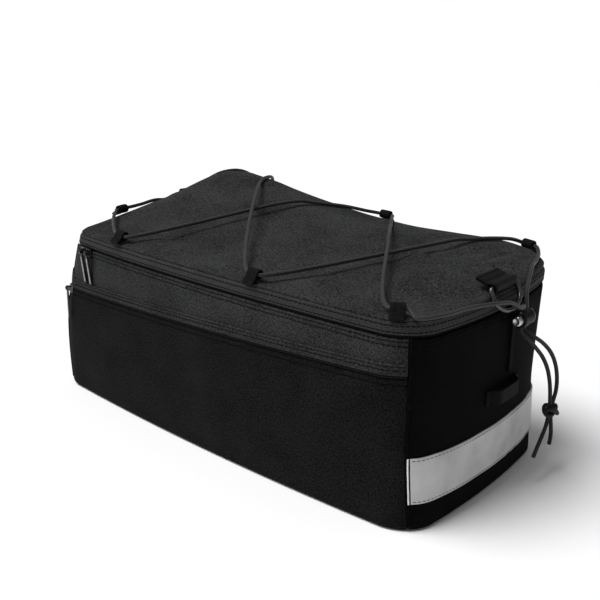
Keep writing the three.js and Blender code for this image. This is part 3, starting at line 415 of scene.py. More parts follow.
def webbing(name, dark, light, rib, roughness):
    """Webbing: ribs this wide across the strap, and its lengthwise cords."""
    material, kit, links = new_material(name)
    shader = shader_of(kit, links, Roughness=roughness, Sheen_Weight=0.01, Specular_IOR_Level=0.07)
    vector, along, up = weave_axes(kit, links)
    ribs = math_node(kit, links, "SINE", math_node(kit, links, "MULTIPLY", along, 2 * math.pi / rib))
    cords = math_node(kit, links, "SINE",
                      math_node(kit, links, "MULTIPLY", up, 2 * math.pi / (rib * WARP_WIDTH)))
    height = math_node(kit, links, "ADD", ribs, math_node(kit, links, "MULTIPLY", cords, WARP_HEIGHT))
    tone = noise_node(kit, links, vector, 0.002, detail=3)
    links.new(ramp_node(kit, links, tone, [(0.3, dark), (0.7, light)]), shader.inputs["Base Color"])
    links.new(bump_node(kit, links, height, 0.0001, 0.8), shader.inputs["Normal"])
    return material


def braid(name, dark, light, roughness):
    """Braided sleeve: the attribute holds the length along the cord and the share of a turn round it."""
    material, kit, links = new_material(name)
    shader = shader_of(kit, links, Roughness=roughness, Sheen_Weight=0.05, Specular_IOR_Level=0.25)
    vector, along, turn_share = weave_axes(kit, links)
    length = math_node(kit, links, "MULTIPLY", along, 2 * math.pi / BRAID_PITCH)
    round_it = math_node(kit, links, "MULTIPLY", turn_share, 2 * math.pi * BRAID_STRANDS)
    one = math_node(kit, links, "SINE", math_node(kit, links, "ADD", length, round_it))
    other = math_node(kit, links, "SINE", math_node(kit, links, "SUBTRACT", length, round_it))
    height = math_node(kit, links, "MULTIPLY", one, other)
    tone = math_node(kit, links, "MULTIPLY_ADD", height, 0.25)
    tone.node.inputs[2].default_value = 0.5
    links.new(ramp_node(kit, links, tone, [(0.25, dark), (0.75, light)]), shader.inputs["Base Color"])
    links.new(bump_node(kit, links, height, 0.00018, 0.8), shader.inputs["Normal"])
    return material


def plain_finish(name, dark, light, blotch, metallic, roughness, relief, shine=0.5):
    """Moulded plastic or cast metal: two close tones, with roughness that varies where it is handled."""
    material, kit, links = new_material(name)
    shader = shader_of(kit, links, Metallic=metallic, Specular_IOR_Level=shine)
    place = kit.new("ShaderNodeTexCoord").outputs["Object"]
    tone = noise_node(kit, links, place, blotch, detail=4)
    links.new(ramp_node(kit, links, tone, [(0.3, dark), (0.7, light)]), shader.inputs["Base Color"])
    wear = ramp_node(kit, links, tone, [(0.3, roughness[0]), (0.7, roughness[1])])
    links.new(wear, shader.inputs["Roughness"])
    links.new(bump_node(kit, links, tone, relief, 0.5), shader.inputs["Normal"])
    return material


WEBBING = webbing(
    "webbing_black", (0.001, 0.001, 0.0011), (0.005, 0.005, 0.0053), rib=0.0011, roughness=0.7)
TAB_WEBBING = webbing(
    "tab_webbing", (0.0012, 0.0012, 0.0013), (0.005, 0.005, 0.0053), rib=0.0012, roughness=0.5)
BRAID = braid("lace_braid", (0.0045, 0.0045, 0.0048), (0.034, 0.0344, 0.0356), roughness=0.5)
# painted shade: the lace's hanging ends and knot take a darker copy of the lace's braid, for the shade on the
# rear end
TAIL_SHADE_BRAID = braid("tail_shade_braid", (0.003, 0.003, 0.0032), (0.018, 0.018, 0.019), roughness=0.6)
THREAD = plain_finish(
    "thread", (0.0008, 0.0008, 0.0009), (0.004, 0.004, 0.0042),
    blotch=0.0012, metallic=0, roughness=(0.7, 0.85), relief=0.00005, shine=0.06)
TEETH = plain_finish(
    "zip_teeth", (0.002, 0.002, 0.0021), (0.006, 0.006, 0.0062),
    blotch=0.002, metallic=0, roughness=(0.5, 0.65), relief=0.00003, shine=0.2)
PLASTIC = plain_finish(
    "lock_plastic", (0.0015, 0.0015, 0.0016), (0.004, 0.004, 0.0042),
    blotch=0.004, metallic=0, roughness=(0.25, 0.4), relief=0.00004, shine=0.18)
ZINC = plain_finish(
    "zinc", (0.36, 0.365, 0.37), (0.58, 0.585, 0.59),
    blotch=0.003, metallic=1, roughness=(0.22, 0.42), relief=0.00004)
LACQUER = plain_finish(
    "black_lacquer", (0.003, 0.003, 0.0032), (0.008, 0.008, 0.0084),
    blotch=0.003, metallic=0, roughness=(0.3, 0.5), relief=0.00003, shine=0.3)
DARK_ZINC = plain_finish(
    "dark_zinc", (0.045, 0.045, 0.0465), (0.12, 0.12, 0.1225),
    blotch=0.003, metallic=1, roughness=(0.2, 0.4), relief=0.00005)

# %% Reflective film
DENT_SHADE_WIDTH, DENT_SHADE_SHARE = 0.022, 0.85
BEAD_WIDTH, BEAD_SHARE = 0.0006, 0.15


def reflective_film(name, greys):
    """Smooth film: three greys, from the painted shade in its dents to its raised parts."""
    material, kit, links = new_material(name)
    shader = shader_of(kit, links, Roughness=0.5, Specular_IOR_Level=0.3, Coat_Weight=0.1,
                       Coat_Roughness=0.35)
    vector, _, _ = weave_axes(kit, links)
    dent_shade = noise_node(kit, links, vector, DENT_SHADE_WIDTH, detail=5)
    beads = noise_node(kit, links, vector, BEAD_WIDTH, detail=1)
    # painted shade: where the broad noise dents the film, its grey is darker
    tone = math_node(kit, links, "ADD", math_node(kit, links, "MULTIPLY", dent_shade, DENT_SHADE_SHARE),
                     math_node(kit, links, "MULTIPLY", beads, BEAD_SHARE))
    grey = ramp_node(kit, links, tone, list(zip((0.3, 0.5, 0.7), greys)))
    links.new(grey, shader.inputs["Base Color"])
    bumps = bump_node(kit, links, beads, 0.00004, 0.4)
    links.new(bump_node(kit, links, dent_shade, 0.0008, 0.35, bumps), shader.inputs["Normal"])
    return material


FILM = reflective_film("reflective_film", (0.36, 0.46, 0.53))
# painted highlight: a much lighter copy of the film for its folded edge beside the near corner
FILM_HIGHLIGHT = reflective_film("film_highlight", (0.7, 0.78, 0.84))
print("finishes", len(bpy.data.materials))

# %% [markdown]
# ## The free ends of the lace
# Below the lock the two ends of the lace hang down the rear end to a knot and on to their cut tips. Their
# length is what shows. They are the only free cords here, so they are settled before the rest: the same
# points as the solids follow, a smooth line through them, and a braided tube along that line. Where each
# end leaves the lock is read from its solid, whose rings of points are found by walking from one flat end
# to the other. The line starts there and goes straight down for one diameter.

# %% Points of the two tails
LACE_DIAMETER = 0.003
TAIL_POINTS = {
    "near": [
        (0.2046, 0.0165, 0.1175), (0.2072, 0.024, 0.110), (0.210, 0.0325, 0.1005), (0.2118, 0.0395, 0.0895),
        (0.2126, 0.0446, 0.0775), (0.2129, 0.0476, 0.0665), (0.2129, 0.0492, 0.0585), (0.2129, 0.0493, 0.053),
        (0.2129, 0.0492, 0.0475), (0.2132, 0.0464, 0.0415), (0.2137, 0.0395, 0.0345), (0.2141, 0.033, 0.0285),
        (0.2143, 0.028, 0.023),
    ],
    "far": [
        (0.2058, 0.0228, 0.118), (0.2094, 0.0315, 0.1115), (0.2126, 0.040, 0.1025), (0.2144, 0.0466, 0.0915),
        (0.215, 0.051, 0.0795), (0.2146, 0.053, 0.0685), (0.2134, 0.0529, 0.0595), (0.2129, 0.0527, 0.053),
        (0.2132, 0.0529, 0.0475), (0.2138, 0.0542, 0.0395), (0.2144, 0.0548, 0.0315), (0.2146, 0.0536, 0.024),
    ],
}
KNOT_MIDDLE = np.array([0.2129, 0.051, 0.053])

# %% Reading a solid's flat sides and rings
WELD = 1e-5
SAME_PLANE = 0.9999
CAP_SLACK = 1.1


def welded(node):
    """A working copy of a solid's mesh, with its corners joined."""
    bm = bmesh.new()
    bm.from_mesh(node.data)
    bmesh.ops.remove_doubles(bm, verts=bm.verts, dist=WELD)
    return bm


def flat_sides(bm):
    """The flat sides of a solid, each as its first face and the set of its faces."""
    seen, sides = set(), []
    for face in bm.faces:
        if face in seen:
            continue
        flat, todo = {face}, [face]
        while todo:
            for edge in todo.pop().edges:
                for other in edge.link_faces:
                    if other not in flat and other.normal.dot(face.normal) > SAME_PLANE:
                        flat.add(other)
                        todo.append(other)
        seen |= flat
        sides.append((face, flat))
    return sides


def rings_of(node, diameter):
    """The rings of points round a tube's solid, in order from one end, as their middles."""
    bm = welded(node)
    caps = []
    # A cap is a flat fan of triangles no wider than the tube
    for _, flat in flat_sides(bm):
        rim = {v for f in flat for v in f.verts}
        spread = max((a.co - b.co).length for a in rim for b in rim)
        if len(flat) > 2 and len(rim) == len(flat) + 2 and spread < diameter * CAP_SLACK:
            caps.append(rim)
    middles, ring, done = [], caps[0], set(caps[0])
    while ring:
        middles.append(np.mean([v.co for v in ring], axis=0))
        ring = {edge.other_vert(v) for v in ring for edge in v.link_edges} - done
        done |= ring
    bm.free()
    return np.array(middles)


# %% The two tails
tail_lines = {}
for side_name, points in TAIL_POINTS.items():
    solid = rings_of(nodes[f"cord_tail_{side_name}"], LACE_DIAMETER)
    from_lock = solid if solid[0][2] > solid[-1][2] else solid[::-1]
    mouth = from_lock[0]
    below = mouth - np.array([0, 0, LACE_DIAMETER])
    line = smooth_line([mouth, below, *points], 0.0012)
    tail_lines[side_name] = line
    print("tail", side_name, "length", round(float(lengths_along(line)[-1]), 4))
# painted shade: the tails take the darker copy of the lace's braid
tail_pieces = {
    side_name: dress(tube(f"tail_{side_name}", line, LACE_DIAMETER), TAIL_SHADE_BRAID,
                     [f"cord_tail_{side_name}"])
    for side_name, line in tail_lines.items()
}

# %% [markdown]
# ## The knot
# The two ends are tied in one plain knot. A knot could be drawn as a ball, but its turns are what the eye
# looks for. Two turns of the same lace that rise and fall past each other round the two tails give them,
# with one short strand across the front where the knot was pulled tight.

# %% Knot in the tails
KNOT_DIAMETER = 0.015
KNOT_HEIGHT = 0.0086
KNOT_FLAT = 0.72
KNOT_WAIST = 0.0006
KNOT_STRAND = [
    (0.0005, -0.0062, 0.0025), (0.0042, -0.0034, 0.0032), (0.0053, 0.0004, 0.0002),
    (0.0042, 0.0036, -0.0028), (0.0006, 0.0062, -0.0026),
]


def knot_turns():
    """Two turns round the tails that rise and fall three times."""
    t = np.linspace(0, 2 * np.pi, 150)
    radius = KNOT_DIAMETER / 2 - LACE_DIAMETER / 2 - KNOT_WAIST * (1 - np.cos(3 * t))
    rise = KNOT_HEIGHT / 2 - LACE_DIAMETER / 2
    turns = np.stack([KNOT_FLAT * radius * np.cos(2 * t), radius * np.sin(2 * t), -rise * np.sin(3 * t)], -1)
    return even_steps(turns, 0.0009) + KNOT_MIDDLE


# painted shade: the knot's turns and strand take the darker copy of the lace's braid
dress(tube("knot_turns", knot_turns(), LACE_DIAMETER), TAIL_SHADE_BRAID, ["tail_knot"])
strand = smooth_line(KNOT_MIDDLE + np.array(KNOT_STRAND), 0.0009)
dress(tube("knot_strand", strand, LACE_DIAMETER * 0.92), TAIL_SHADE_BRAID)

# %% [markdown]
# ## The shape of the wall
# The bag's outline is one turn of eight stretches: side, corner, end, corner, and the same back. A place
# on it is a number from 0 to 8, and with a height it gives any point of the wall. The same few sizes as
# the solids have make the outline, so every hem and stitch that is laid out by place and height lies on
# the real surface. A sculpted mesh would look as good from one side, but nothing could be measured on it.

# %% Sizes of the bag, in metres
LENGTH = 0.400
WIDTH = 0.211
SEAM_HEIGHT = 0.1455
SEAM_RISE = 0.0055
LID_CROWN = 0.033
END_BOW = 0.0125
SIDE_BOW = 0.0076
REAR_RADIUS = 0.024
FRONT_RADIUS = 0.018
FRONT_LEAN = 0.026
TOP_SHIFT = 0.002
BASE_STRAIGHT = 0.5
FRONT_BELLY = 0.005
END_FLARE = 0.006
TOP_SPREAD = 0.0031
BASE_TUCK = 0.0015
WAIST = 0.45
BASE_EDGE = 0.003
TUB_WALL = 0.005
CLOTH_THICK = 0.002
GAP = 0.0003
BELLY_TOP = 0.7
PROFILE_POWER = 1.5
BAND_HEIGHT = 0.0088
ZIP_GROOVE = 0.0024
BAND_LOW = SEAM_HEIGHT - BAND_HEIGHT
TUB_TOP = BAND_LOW - ZIP_GROOVE
RIM = SEAM_HEIGHT + GAP
RUN_HEIGHT = SEAM_HEIGHT * 0.6
FRONT_SEAM_FAR = 5.5
SEAM_FROM, SEAM_TO, REAR_SEAM_FAR, SEAM_STEP = -0.5, 1.5, 3.5, 0.05


# %% Outline and wall
def outline(u, z):
    """Plan of the bag at height z: x and y at places u round it."""
    u, z = np.broadcast_arrays(np.asarray(u, float), np.asarray(z, float))
    share = z / SEAM_HEIGHT
    top = (np.clip(share - WAIST, 0, None) / (1 - WAIST)) ** PROFILE_POWER
    base = (np.clip(WAIST - share, 0, None) / WAIST) ** PROFILE_POWER
    half_length = LENGTH / 2 - END_FLARE - END_BOW
    half_width = WIDTH / 2 - SIDE_BOW - TOP_SPREAD * (1 - top) - BASE_TUCK * base

    def corner_arc(corner, part):
        radius = np.where(corner < 2, REAR_RADIUS, FRONT_RADIUS)
        middle_x = np.where(corner < 2, half_length - radius, radius - half_length)
        middle_y = np.where((corner == 0) | (corner == 3), radius - half_width, half_width - radius)
        angle = np.pi / 2 * (corner + part - 1)
        return middle_x + radius * np.cos(angle), middle_y + radius * np.sin(angle)

    place = np.mod(u, 8)
    stretch = np.floor(place).astype(int)
    along = place - stretch
    straight = stretch % 2 == 0
    after = stretch // 2
    before = np.where(straight, (after + 3) % 4, after)
    x0, y0 = corner_arc(before, np.where(straight, 1, along))
    x1, y1 = corner_arc(after, np.where(straight, 0, along))
    part = np.where(straight, along, 0)
    x, y = x0 + (x1 - x0) * part, y0 + (y1 - y0) * part
    y = y * (1 + SIDE_BOW / half_width * (1 - np.minimum(1, np.abs(x) / half_length) ** 2))
    bow = END_BOW * (1 - BASE_STRAIGHT * base**2)
    x = x * (1 + bow / half_length * (1 - np.minimum(1, np.abs(y) / half_width) ** 2))
    pull = np.minimum(1, np.abs(x) / half_length) ** 2
    x = x + np.sign(x) * pull * END_FLARE * base
    belly = np.sin(np.pi * np.clip(share / BELLY_TOP, 0, 1))
    x = np.where(x < 0, x + pull * (FRONT_LEAN * top - FRONT_BELLY * belly), x)
    return x - TOP_SHIFT * share, y


def raised(x, z):
    """The bag grows a little higher towards its rear end."""
    return z * (1 + (SEAM_RISE / SEAM_HEIGHT) * (x / LENGTH + 0.5))


def outline_normal(u, z):
    nudge = 0.004
    x0, y0 = outline(np.asarray(u) - nudge, z)
    x1, y1 = outline(np.asarray(u) + nudge, z)
    size = np.hypot(x1 - x0, y1 - y0)
    return (y1 - y0) / size, (x0 - x1) / size


def outward_of(u, z):
    """The wall's level outward directions at places and heights."""
    normal_x, normal_y = outline_normal(u, z)
    return np.stack([normal_x, normal_y, np.zeros_like(normal_x)], -1)


def wall(u, z, out=0.0):
    """Points of the wall at places u and heights z, moved out by out."""
    x, y = outline(u, z)
    normal_x, normal_y = outline_normal(u, z)
    x, y = x + normal_x * out, y + normal_y * out
    return np.stack([x, y, raised(x, np.broadcast_to(z, x.shape))], -1)


def place_on_end(y):
    """Place on the rear end at a distance from its middle line."""
    low, high = outline(2, SEAM_HEIGHT)[1], outline(3, SEAM_HEIGHT)[1]
    return 2.5 + y / float(high - low)


def under_turn(z):
    """The wall turns under the base on a small radius."""
    rise_left = np.clip(BASE_EDGE - z, 0, None)
    return -(BASE_EDGE - np.sqrt(np.clip(BASE_EDGE**2 - rise_left**2, 0, None)))


RUN_PLACES = np.linspace(-8, 16, 2401)
RUN_LENGTHS = lengths_along(wall(RUN_PLACES, RUN_HEIGHT))


def run_at(u):
    """Length along the outline, so that the weave has its real size everywhere."""
    return np.interp(u, RUN_PLACES, RUN_LENGTHS)


print("outline", round(float(run_at(8) - run_at(0)), 3), "m round")


# %% Shape of the lid
LID_FORM = {
    "along": [-1.0, -0.84, -0.62, -0.37, -0.155, 0.05, 0.25, 0.46, 0.7, 1.0],
    "near": [0.14, 0.17, 0.2, 0.2, 0.2, 0.2, 0.2, 0.2, 0.2, 0.18],
    "middle": [0.55, 0.58, 0.45, 0.39, 0.38, 0.37, 0.36, 0.36, 0.41, 0.37],
    "far": [1.0, 1.14, 1.02, 0.8, 0.63, 0.5, 0.43, 0.47, 0.53, 0.52],
}
LID_ACROSS = [-0.8, 0, 0.7]
LID_DENTS = [
    {"along": 0.4, "across": -0.25, "reach_along": 0.12, "reach_across": 0.5, "depth": 0.07},
    {"along": 0.66, "across": 0.35, "reach_along": 0.2, "reach_across": 0.16, "depth": 0.08},
    {"along": -0.2, "across": 0.1, "reach_along": 0.1, "reach_across": 0.5, "depth": 0.05},
    {"along": -0.55, "across": -0.55, "reach_along": 0.2, "reach_across": 0.14, "depth": 0.05},
]
SIDE_ROLL, FRONT_ROLL, REAR_TIGHT = 4.5, 14, 0.5
LID_FRONT = float(outline(6.5, SEAM_HEIGHT)[0])
LID_REAR = float(outline(2.5, SEAM_HEIGHT)[0])
LID_MIDDLE = (LID_FRONT + LID_REAR) / 2
LID_HALF = ((LID_REAR - LID_FRONT) / 2, WIDTH / 2)


def along_table(places, values, at):
    """Smooth curve through rows of a table, level at both ends. Each row's value may be an array."""
    places = np.asarray(places, float)
    values = [np.broadcast_to(np.asarray(v, float), at.shape) for v in values]
    at = np.clip(at, places[0], places[-1])
    row = np.clip(np.searchsorted(places, at, side="left") - 1, 0, len(places) - 2)
    slopes = [np.zeros(at.shape)]
    for i in range(1, len(places) - 1):
        slopes.append((values[i + 1] - values[i - 1]) / (places[i + 1] - places[i - 1]))
    slopes.append(np.zeros(at.shape))
    step = places[row + 1] - places[row]

    def pick(rows, i):
        return np.take_along_axis(np.stack(rows), i[None], 0)[0]

    return hermite((at - places[row]) / step, pick(values, row), pick(values, row + 1),
                   step * pick(slopes, row), step * pick(slopes, row + 1))


def lid_form(x, y):
    """Height of the lid over its seam, before the roll at the edge."""
    along = (x - LID_MIDDLE) / LID_HALF[0]
    across = y / LID_HALF[1]
    columns = [along_table(LID_FORM["along"], LID_FORM[c], along) for c in ("near", "middle", "far")]
    share = along_table(LID_ACROSS, columns, across)
    for dent in LID_DENTS:
        away = (((along - dent["along"]) / dent["reach_along"]) ** 2
                + ((across - dent["across"]) / dent["reach_across"]) ** 2)
        share = share - dent["depth"] * np.exp(-away)
    return share * LID_CROWN


def lid_roll(x, y, share):
    """The lid rolls down to its seam, sharper at the front and at the far rear corner than elsewhere."""
    along = np.clip((x - LID_MIDDLE) / LID_HALF[0], -1, 1)
    far = np.clip(y / LID_HALF[1], 0, 1)
    tight = np.where(along < 0, along**2, REAR_TIGHT * along * far**2)
    power = SIDE_ROLL + (FRONT_ROLL - SIDE_ROLL) * tight
    return np.sqrt(np.clip(1 - np.minimum(1, share) ** power, 0, None))


def lid_points(u, share, edge=0.0, thick=0.0, lift=0.0):
    """Points of the lid at places u round it and shares of the way out from its middle."""
    seam = wall(u, SEAM_HEIGHT, -edge)
    x = LID_MIDDLE + (seam[..., 0] - LID_MIDDLE) * share
    y = seam[..., 1] * share
    return np.stack([x, y, raised(x, RIM + (lid_form(x, y) - thick) * lid_roll(x, y, share)) + lift], -1)


# %% [markdown]
# ## Letting the padding push the cloth
# Foam padding presses the walls out between their seams, and the lid sags a little under its own weight.
# That is what Blender's Cloth works out well. A copy of the whole outer form is remeshed evenly at 6 mm,
# held along every seam, pushed out by pressure on the walls alone and pulled down by gravity. Only the
# small movement is kept, no further than a few millimetres, and laid over the exact wall by place and
# height, so that hems, strips and stitches that are sewn to the cloth all move with it.

# %% The pocket's zip line
POCKET_ZIP_FRONT = 0.092
POCKET_ZIP_REAR = 0.110
POCKET_ZIP_RISE = 0.009
POCKET_DEPTH = 0.009
POCKET_FROM, POCKET_SPAN = -0.3, 1.6


def signed_place(u):
    place = np.mod(u, 8)
    return np.where(place > 4, place - 8, place)


def pocket_line(u):
    """Middle of the pocket zip, which climbs to the rear and rises again round the front corner."""
    place = signed_place(u)
    share = (outline(place, POCKET_ZIP_REAR)[0] + LENGTH / 2) / LENGTH
    rise_at_corner = POCKET_ZIP_RISE * np.clip(place / SEAM_FROM, 0, 1) ** 1.5
    return POCKET_ZIP_FRONT + (POCKET_ZIP_REAR - POCKET_ZIP_FRONT) * share + rise_at_corner


# %% Cloth simulation of the outer form
VOXEL = 0.006
FRAMES = 20
PIN_LOW, PIN_REACH, PIN_FIRM = 0.004, 0.006, 1.6
WALL_CAP = 0.0028
LID_CAP = 0.0017


def outer_form():
    """The bag's whole outside as one closed mesh: base, wall and lid."""
    places = np.linspace(0, 8, 160, endpoint=False)[:, None]
    heights = np.concatenate([[0.0, 0.001, BASE_EDGE], np.linspace(0.012, SEAM_HEIGHT, 24)])[None, :]
    walls = wall(places, heights, under_turn(heights))
    shares = 1 - np.linspace(0.08, 0.97, 18)[None, :] ** 2
    tops = lid_points(places, shares)
    points = np.concatenate([walls, tops], axis=1)
    return add_mesh("outer_form", points.reshape(-1, 3), faces_round(*points.shape[:2]))


def seam_tree():
    """Every line of sewing that holds the cloth in place."""
    u = np.linspace(0, 8, 400)
    side = np.linspace(SEAM_FROM, SEAM_TO, 160)
    heights = np.linspace(0, SEAM_HEIGHT, 40)
    lines = [wall(u, TUB_TOP), wall(u, SEAM_HEIGHT), wall(u, 0.0), wall(side, pocket_line(side))]
    lines += [wall(place, heights) for place in (SEAM_FROM, SEAM_TO, REAR_SEAM_FAR, FRONT_SEAM_FAR)]
    return tree_of(np.concatenate(lines))


def evaluated_points(piece):
    mesh = piece.evaluated_get(bpy.context.evaluated_depsgraph_get()).data
    points = np.empty(len(mesh.vertices) * 3, np.float32)
    mesh.vertices.foreach_get("co", points)
    return points.reshape(-1, 3).astype(float)


def simulate_cloth():
    """Rest points of the even mesh and how far each one moved."""
    form = outer_form()
    remesh = form.modifiers.new("even", "REMESH")
    remesh.mode = "VOXEL"
    remesh.voxel_size = VOXEL
    graph = bpy.context.evaluated_depsgraph_get()
    even = bpy.data.objects.new("even_form", bpy.data.meshes.new_from_object(form.evaluated_get(graph)))
    bpy.context.scene.collection.objects.link(even)
    rest = np.array([v.co for v in even.data.vertices])
    tree = seam_tree()
    pins = even.vertex_groups.new(name="pins")
    pushed = even.vertex_groups.new(name="pushed")
    for i, point in enumerate(rest):
        distance = tree.find(point)[2]
        held = 1.0 if point[2] < PIN_LOW else float(np.clip(PIN_FIRM - distance / PIN_REACH, 0, 1))
        pins.add([i], held, "REPLACE")
        pushed.add([i], 1.0 if point[2] < TUB_TOP else 0.0, "REPLACE")
    cloth = even.modifiers.new("cloth", "CLOTH")
    settings = cloth.settings
    settings.quality = 5
    settings.mass = 0.25
    settings.air_damping = 4
    settings.tension_stiffness = settings.compression_stiffness = 12
    settings.shear_stiffness = 5
    settings.bending_stiffness = 0.6
    settings.vertex_group_mass = "pins"
    settings.use_pressure = True
    settings.uniform_pressure_force = 4
    settings.vertex_group_pressure = "pushed"
    settings.effector_weights.gravity = 0.5
    cloth.collision_settings.use_collision = False
    scene = bpy.context.scene
    for step in range(1, FRAMES + 1):
        scene.frame_set(step)
    moved = evaluated_points(even) - rest
    scene.frame_set(1)
    bpy.data.objects.remove(even)
    bpy.data.objects.remove(form)
    return rest, moved


GIVE_PLACES = np.linspace(0, 8, 241)
GIVE_HEIGHTS = np.linspace(0, SEAM_HEIGHT, 49)
GIVE_SHARES = np.linspace(0, 1, 41)
wall_give = np.zeros((len(GIVE_PLACES), len(GIVE_HEIGHTS)))
lid_give = np.zeros((len(GIVE_PLACES), len(GIVE_SHARES)))


def nearest_movement(rest, moved, points):
    """Movement at each point, blended from the four nearest points of the even mesh."""
    tree = tree_of(rest)
    found = np.zeros_like(points)
    for k, point in enumerate(points):
        near = tree.find_n(point, 4)
        weights = np.array([1 / (d + 1e-4) for _, _, d in near])
        found[k] = (moved[[i for _, i, _ in near]] * weights[:, None]).sum(0) / weights.sum()
    return found


rest, moved = simulate_cloth()
grid = wall(GIVE_PLACES[:, None], GIVE_HEIGHTS[None, :])
shift = nearest_movement(rest, moved, grid.reshape(-1, 3)).reshape(grid.shape)
push = (shift * outward_of(GIVE_PLACES[:, None], GIVE_HEIGHTS[None, :])).sum(axis=-1)
wall_give = WALL_CAP * np.tanh(push / WALL_CAP)
top = lid_points(GIVE_PLACES[:, None], GIVE_SHARES[None, :])
sink = nearest_movement(rest, moved, top.reshape(-1, 3)).reshape(top.shape)[..., 2]
lid_give = LID_CAP * np.tanh(np.minimum(sink, 0) / LID_CAP)
print("cloth moved", len(rest), "points: wall", (wall_give * 1000).min().round(2), "to",
      (wall_give * 1000).max().round(2), "mm, lid", (lid_give * 1000).min().round(2), "mm")


def looked_up(table, rows, columns, row_at, column_at):
    """Value of a table between its rows and columns."""
    row_at, column_at = np.broadcast_arrays(row_at, column_at)
    i = np.clip(np.interp(row_at, rows, np.arange(len(rows))), 0, len(rows) - 1.0001)
    j = np.clip(np.interp(column_at, columns, np.arange(len(columns))), 0, len(columns) - 1.0001)
    a, b = i.astype(int), j.astype(int)
    s, t = i - a, j - b
    return ((1 - s) * (1 - t) * table[a, b] + s * (1 - t) * table[a + 1, b]
            + (1 - s) * t * table[a, b + 1] + s * t * table[a + 1, b + 1])


# %% Puckers along the sewing
PUCKERS = [(0.0115, 0.3), (0.0173, 1.9), (0.0271, 4.4)]
PUCKER_DEPTH = 0.00022
PUCKER_REACH = 0.008
PUCKER_STRETCH = 1.3
PLACE_LENGTH = 0.038
HEM_FADE = 0.002


def pucker(run, distance):
    """Small gathers where thread pulls the cloth, fading away from the seam."""
    wave = sum(np.sin(2 * np.pi * run / length + start) for length, start in PUCKERS)
    return PUCKER_DEPTH * wave * np.exp(-np.abs(distance) / PUCKER_REACH)


def cloth_wall(u, z, out=0.0):
    """The wall with the cloth's own swell and puckers."""
    u, z = np.broadcast_arrays(np.asarray(u, float), np.asarray(z, float))
    swell = looked_up(wall_give, GIVE_PLACES, GIVE_HEIGHTS, np.mod(u, 8), z)
    gather = pucker(run_at(u), TUB_TOP - z)
    gather = gather + pucker(z * PUCKER_STRETCH, (signed_place(u) - SEAM_TO) * PLACE_LENGTH)
    gather = gather * np.clip((TUB_TOP - z) / HEM_FADE, 0, 1)
    return wall(u, z, out + swell + gather)


# %% [markdown]
# ## The tub
# The tub is the bag's padded body. Its cloth ends in a vertical seam near each corner, and behind the
# pocket it lies deeper. Its mesh has an outer and an inner skin that meet at the rim, as the real wall
# does, because the inside can be seen from anywhere above if the lid is ever taken off. Two tones of the
# same cloth are used: the rear end takes a much darker copy of it, painted shade for the deep shade that
# falls on that end.

# %% Places along the outline, and rows of sewing
COLUMN_SPACING = 0.0028
CORNER_CARE = 0.02
TOP_SEWING = (0.0018, 0.0048)
FLAP_SEWING = (0.0014, 0.0042)
POCKET_SEWING = 0.0042
BAND_SEWING = (0.0019, 0.0025)


def columns_between(start, end, spacing=COLUMN_SPACING):
    """Places on the outline about this far apart, closer in the corners."""
    fine = np.linspace(start, end, 4000)
    turn_x, turn_y = outline_normal(fine, RUN_HEIGHT)
    turning = np.concatenate([[0], np.cumsum(np.hypot(np.diff(turn_x), np.diff(turn_y)))])
    run = run_at(fine) - run_at(start) + CORNER_CARE * turning
    count = max(3, int(run[-1] / spacing))
    return np.interp(np.linspace(0, run[-1], count + 1), run, fine)


# %% Tub
TUB_ROWS = 44
COVERED_SPACING = 0.006
TUB_ROWS_LOW = (0.0, 0.0008, 0.0018, BASE_EDGE)
TUB_ROWS_HIGH = (0.0052, 0.0048, 0.0044, 0.004, 0.0022, 0.0018, 0.0014, 0.0008, 0.0003, 0.0)
TUB_HEM = {0.0048: -0.00035, 0.0018: -0.00035, 0.0008: -0.0001, 0.0003: -0.0005, 0.0: -0.0012}
BASE_INSET = np.array([0.9, 0.9, 0])
FLOOR_WEAVE = 0.01


def tub_inset(u, z):
    """How far the tub's wall lies behind the outline where the pocket's cloth covers it."""
    place = signed_place(u)
    reach_along = np.clip((place - POCKET_FROM) / POCKET_SPAN, 0, 1)
    rise_up = np.clip(z / TUB_TOP, 0, 1)
    deep = POCKET_DEPTH * np.sin(np.pi * reach_along) ** 2 * np.sin(np.pi * rise_up) ** 2
    covered = (place >= SEAM_FROM) & (place <= SEAM_TO)
    return np.where(covered, CLOTH_THICK + 2 * GAP + deep, 0)


def tub():
    """The padded body: an outer skin, the rim, an inner skin and a floor between them."""
    covered = columns_between(SEAM_FROM, SEAM_TO, COVERED_SPACING)
    open_wall = columns_between(SEAM_TO + SEAM_STEP, 8 + SEAM_FROM - SEAM_STEP)
    places = np.concatenate([covered, open_wall])[:, None]
    between = np.linspace(0.006, TUB_TOP - 0.006, TUB_ROWS)
    heights = np.concatenate([TUB_ROWS_LOW, between, TUB_TOP - np.array(TUB_ROWS_HIGH)])
    dip = np.zeros(len(heights))
    for distance, out in TUB_HEM.items():
        dip[np.argmin(np.abs(TUB_TOP - distance - heights))] = out
    heights = heights[None, :]
    inset = tub_inset(places, heights)
    outer = cloth_wall(places, heights, under_turn(heights) - inset + dip[None, :])
    inner = wall(places, np.maximum(TUB_WALL, heights), -inset - TUB_WALL)
    base_outer = outer[:, :1] * BASE_INSET
    base_inner = inner[:, :1] * BASE_INSET + np.array([0, 0, TUB_WALL])
    points = np.concatenate([base_outer, outer, inner[:, ::-1], base_inner], axis=1)
    run = np.broadcast_to(run_at(places), points.shape[:2])
    base = heights[:, :1] - FLOOR_WEAVE
    climb = np.concatenate([base, heights, heights[:, ::-1], base], axis=1)
    weave = np.stack([run, np.broadcast_to(climb, run.shape), np.zeros(run.shape)], -1)
    columns, rows = points.shape[:2]
    piece = add_mesh("tub", points.reshape(-1, 3), faces_round(columns, rows), weave.reshape(-1, 3), 50)
    return piece, places[:, 0], rows


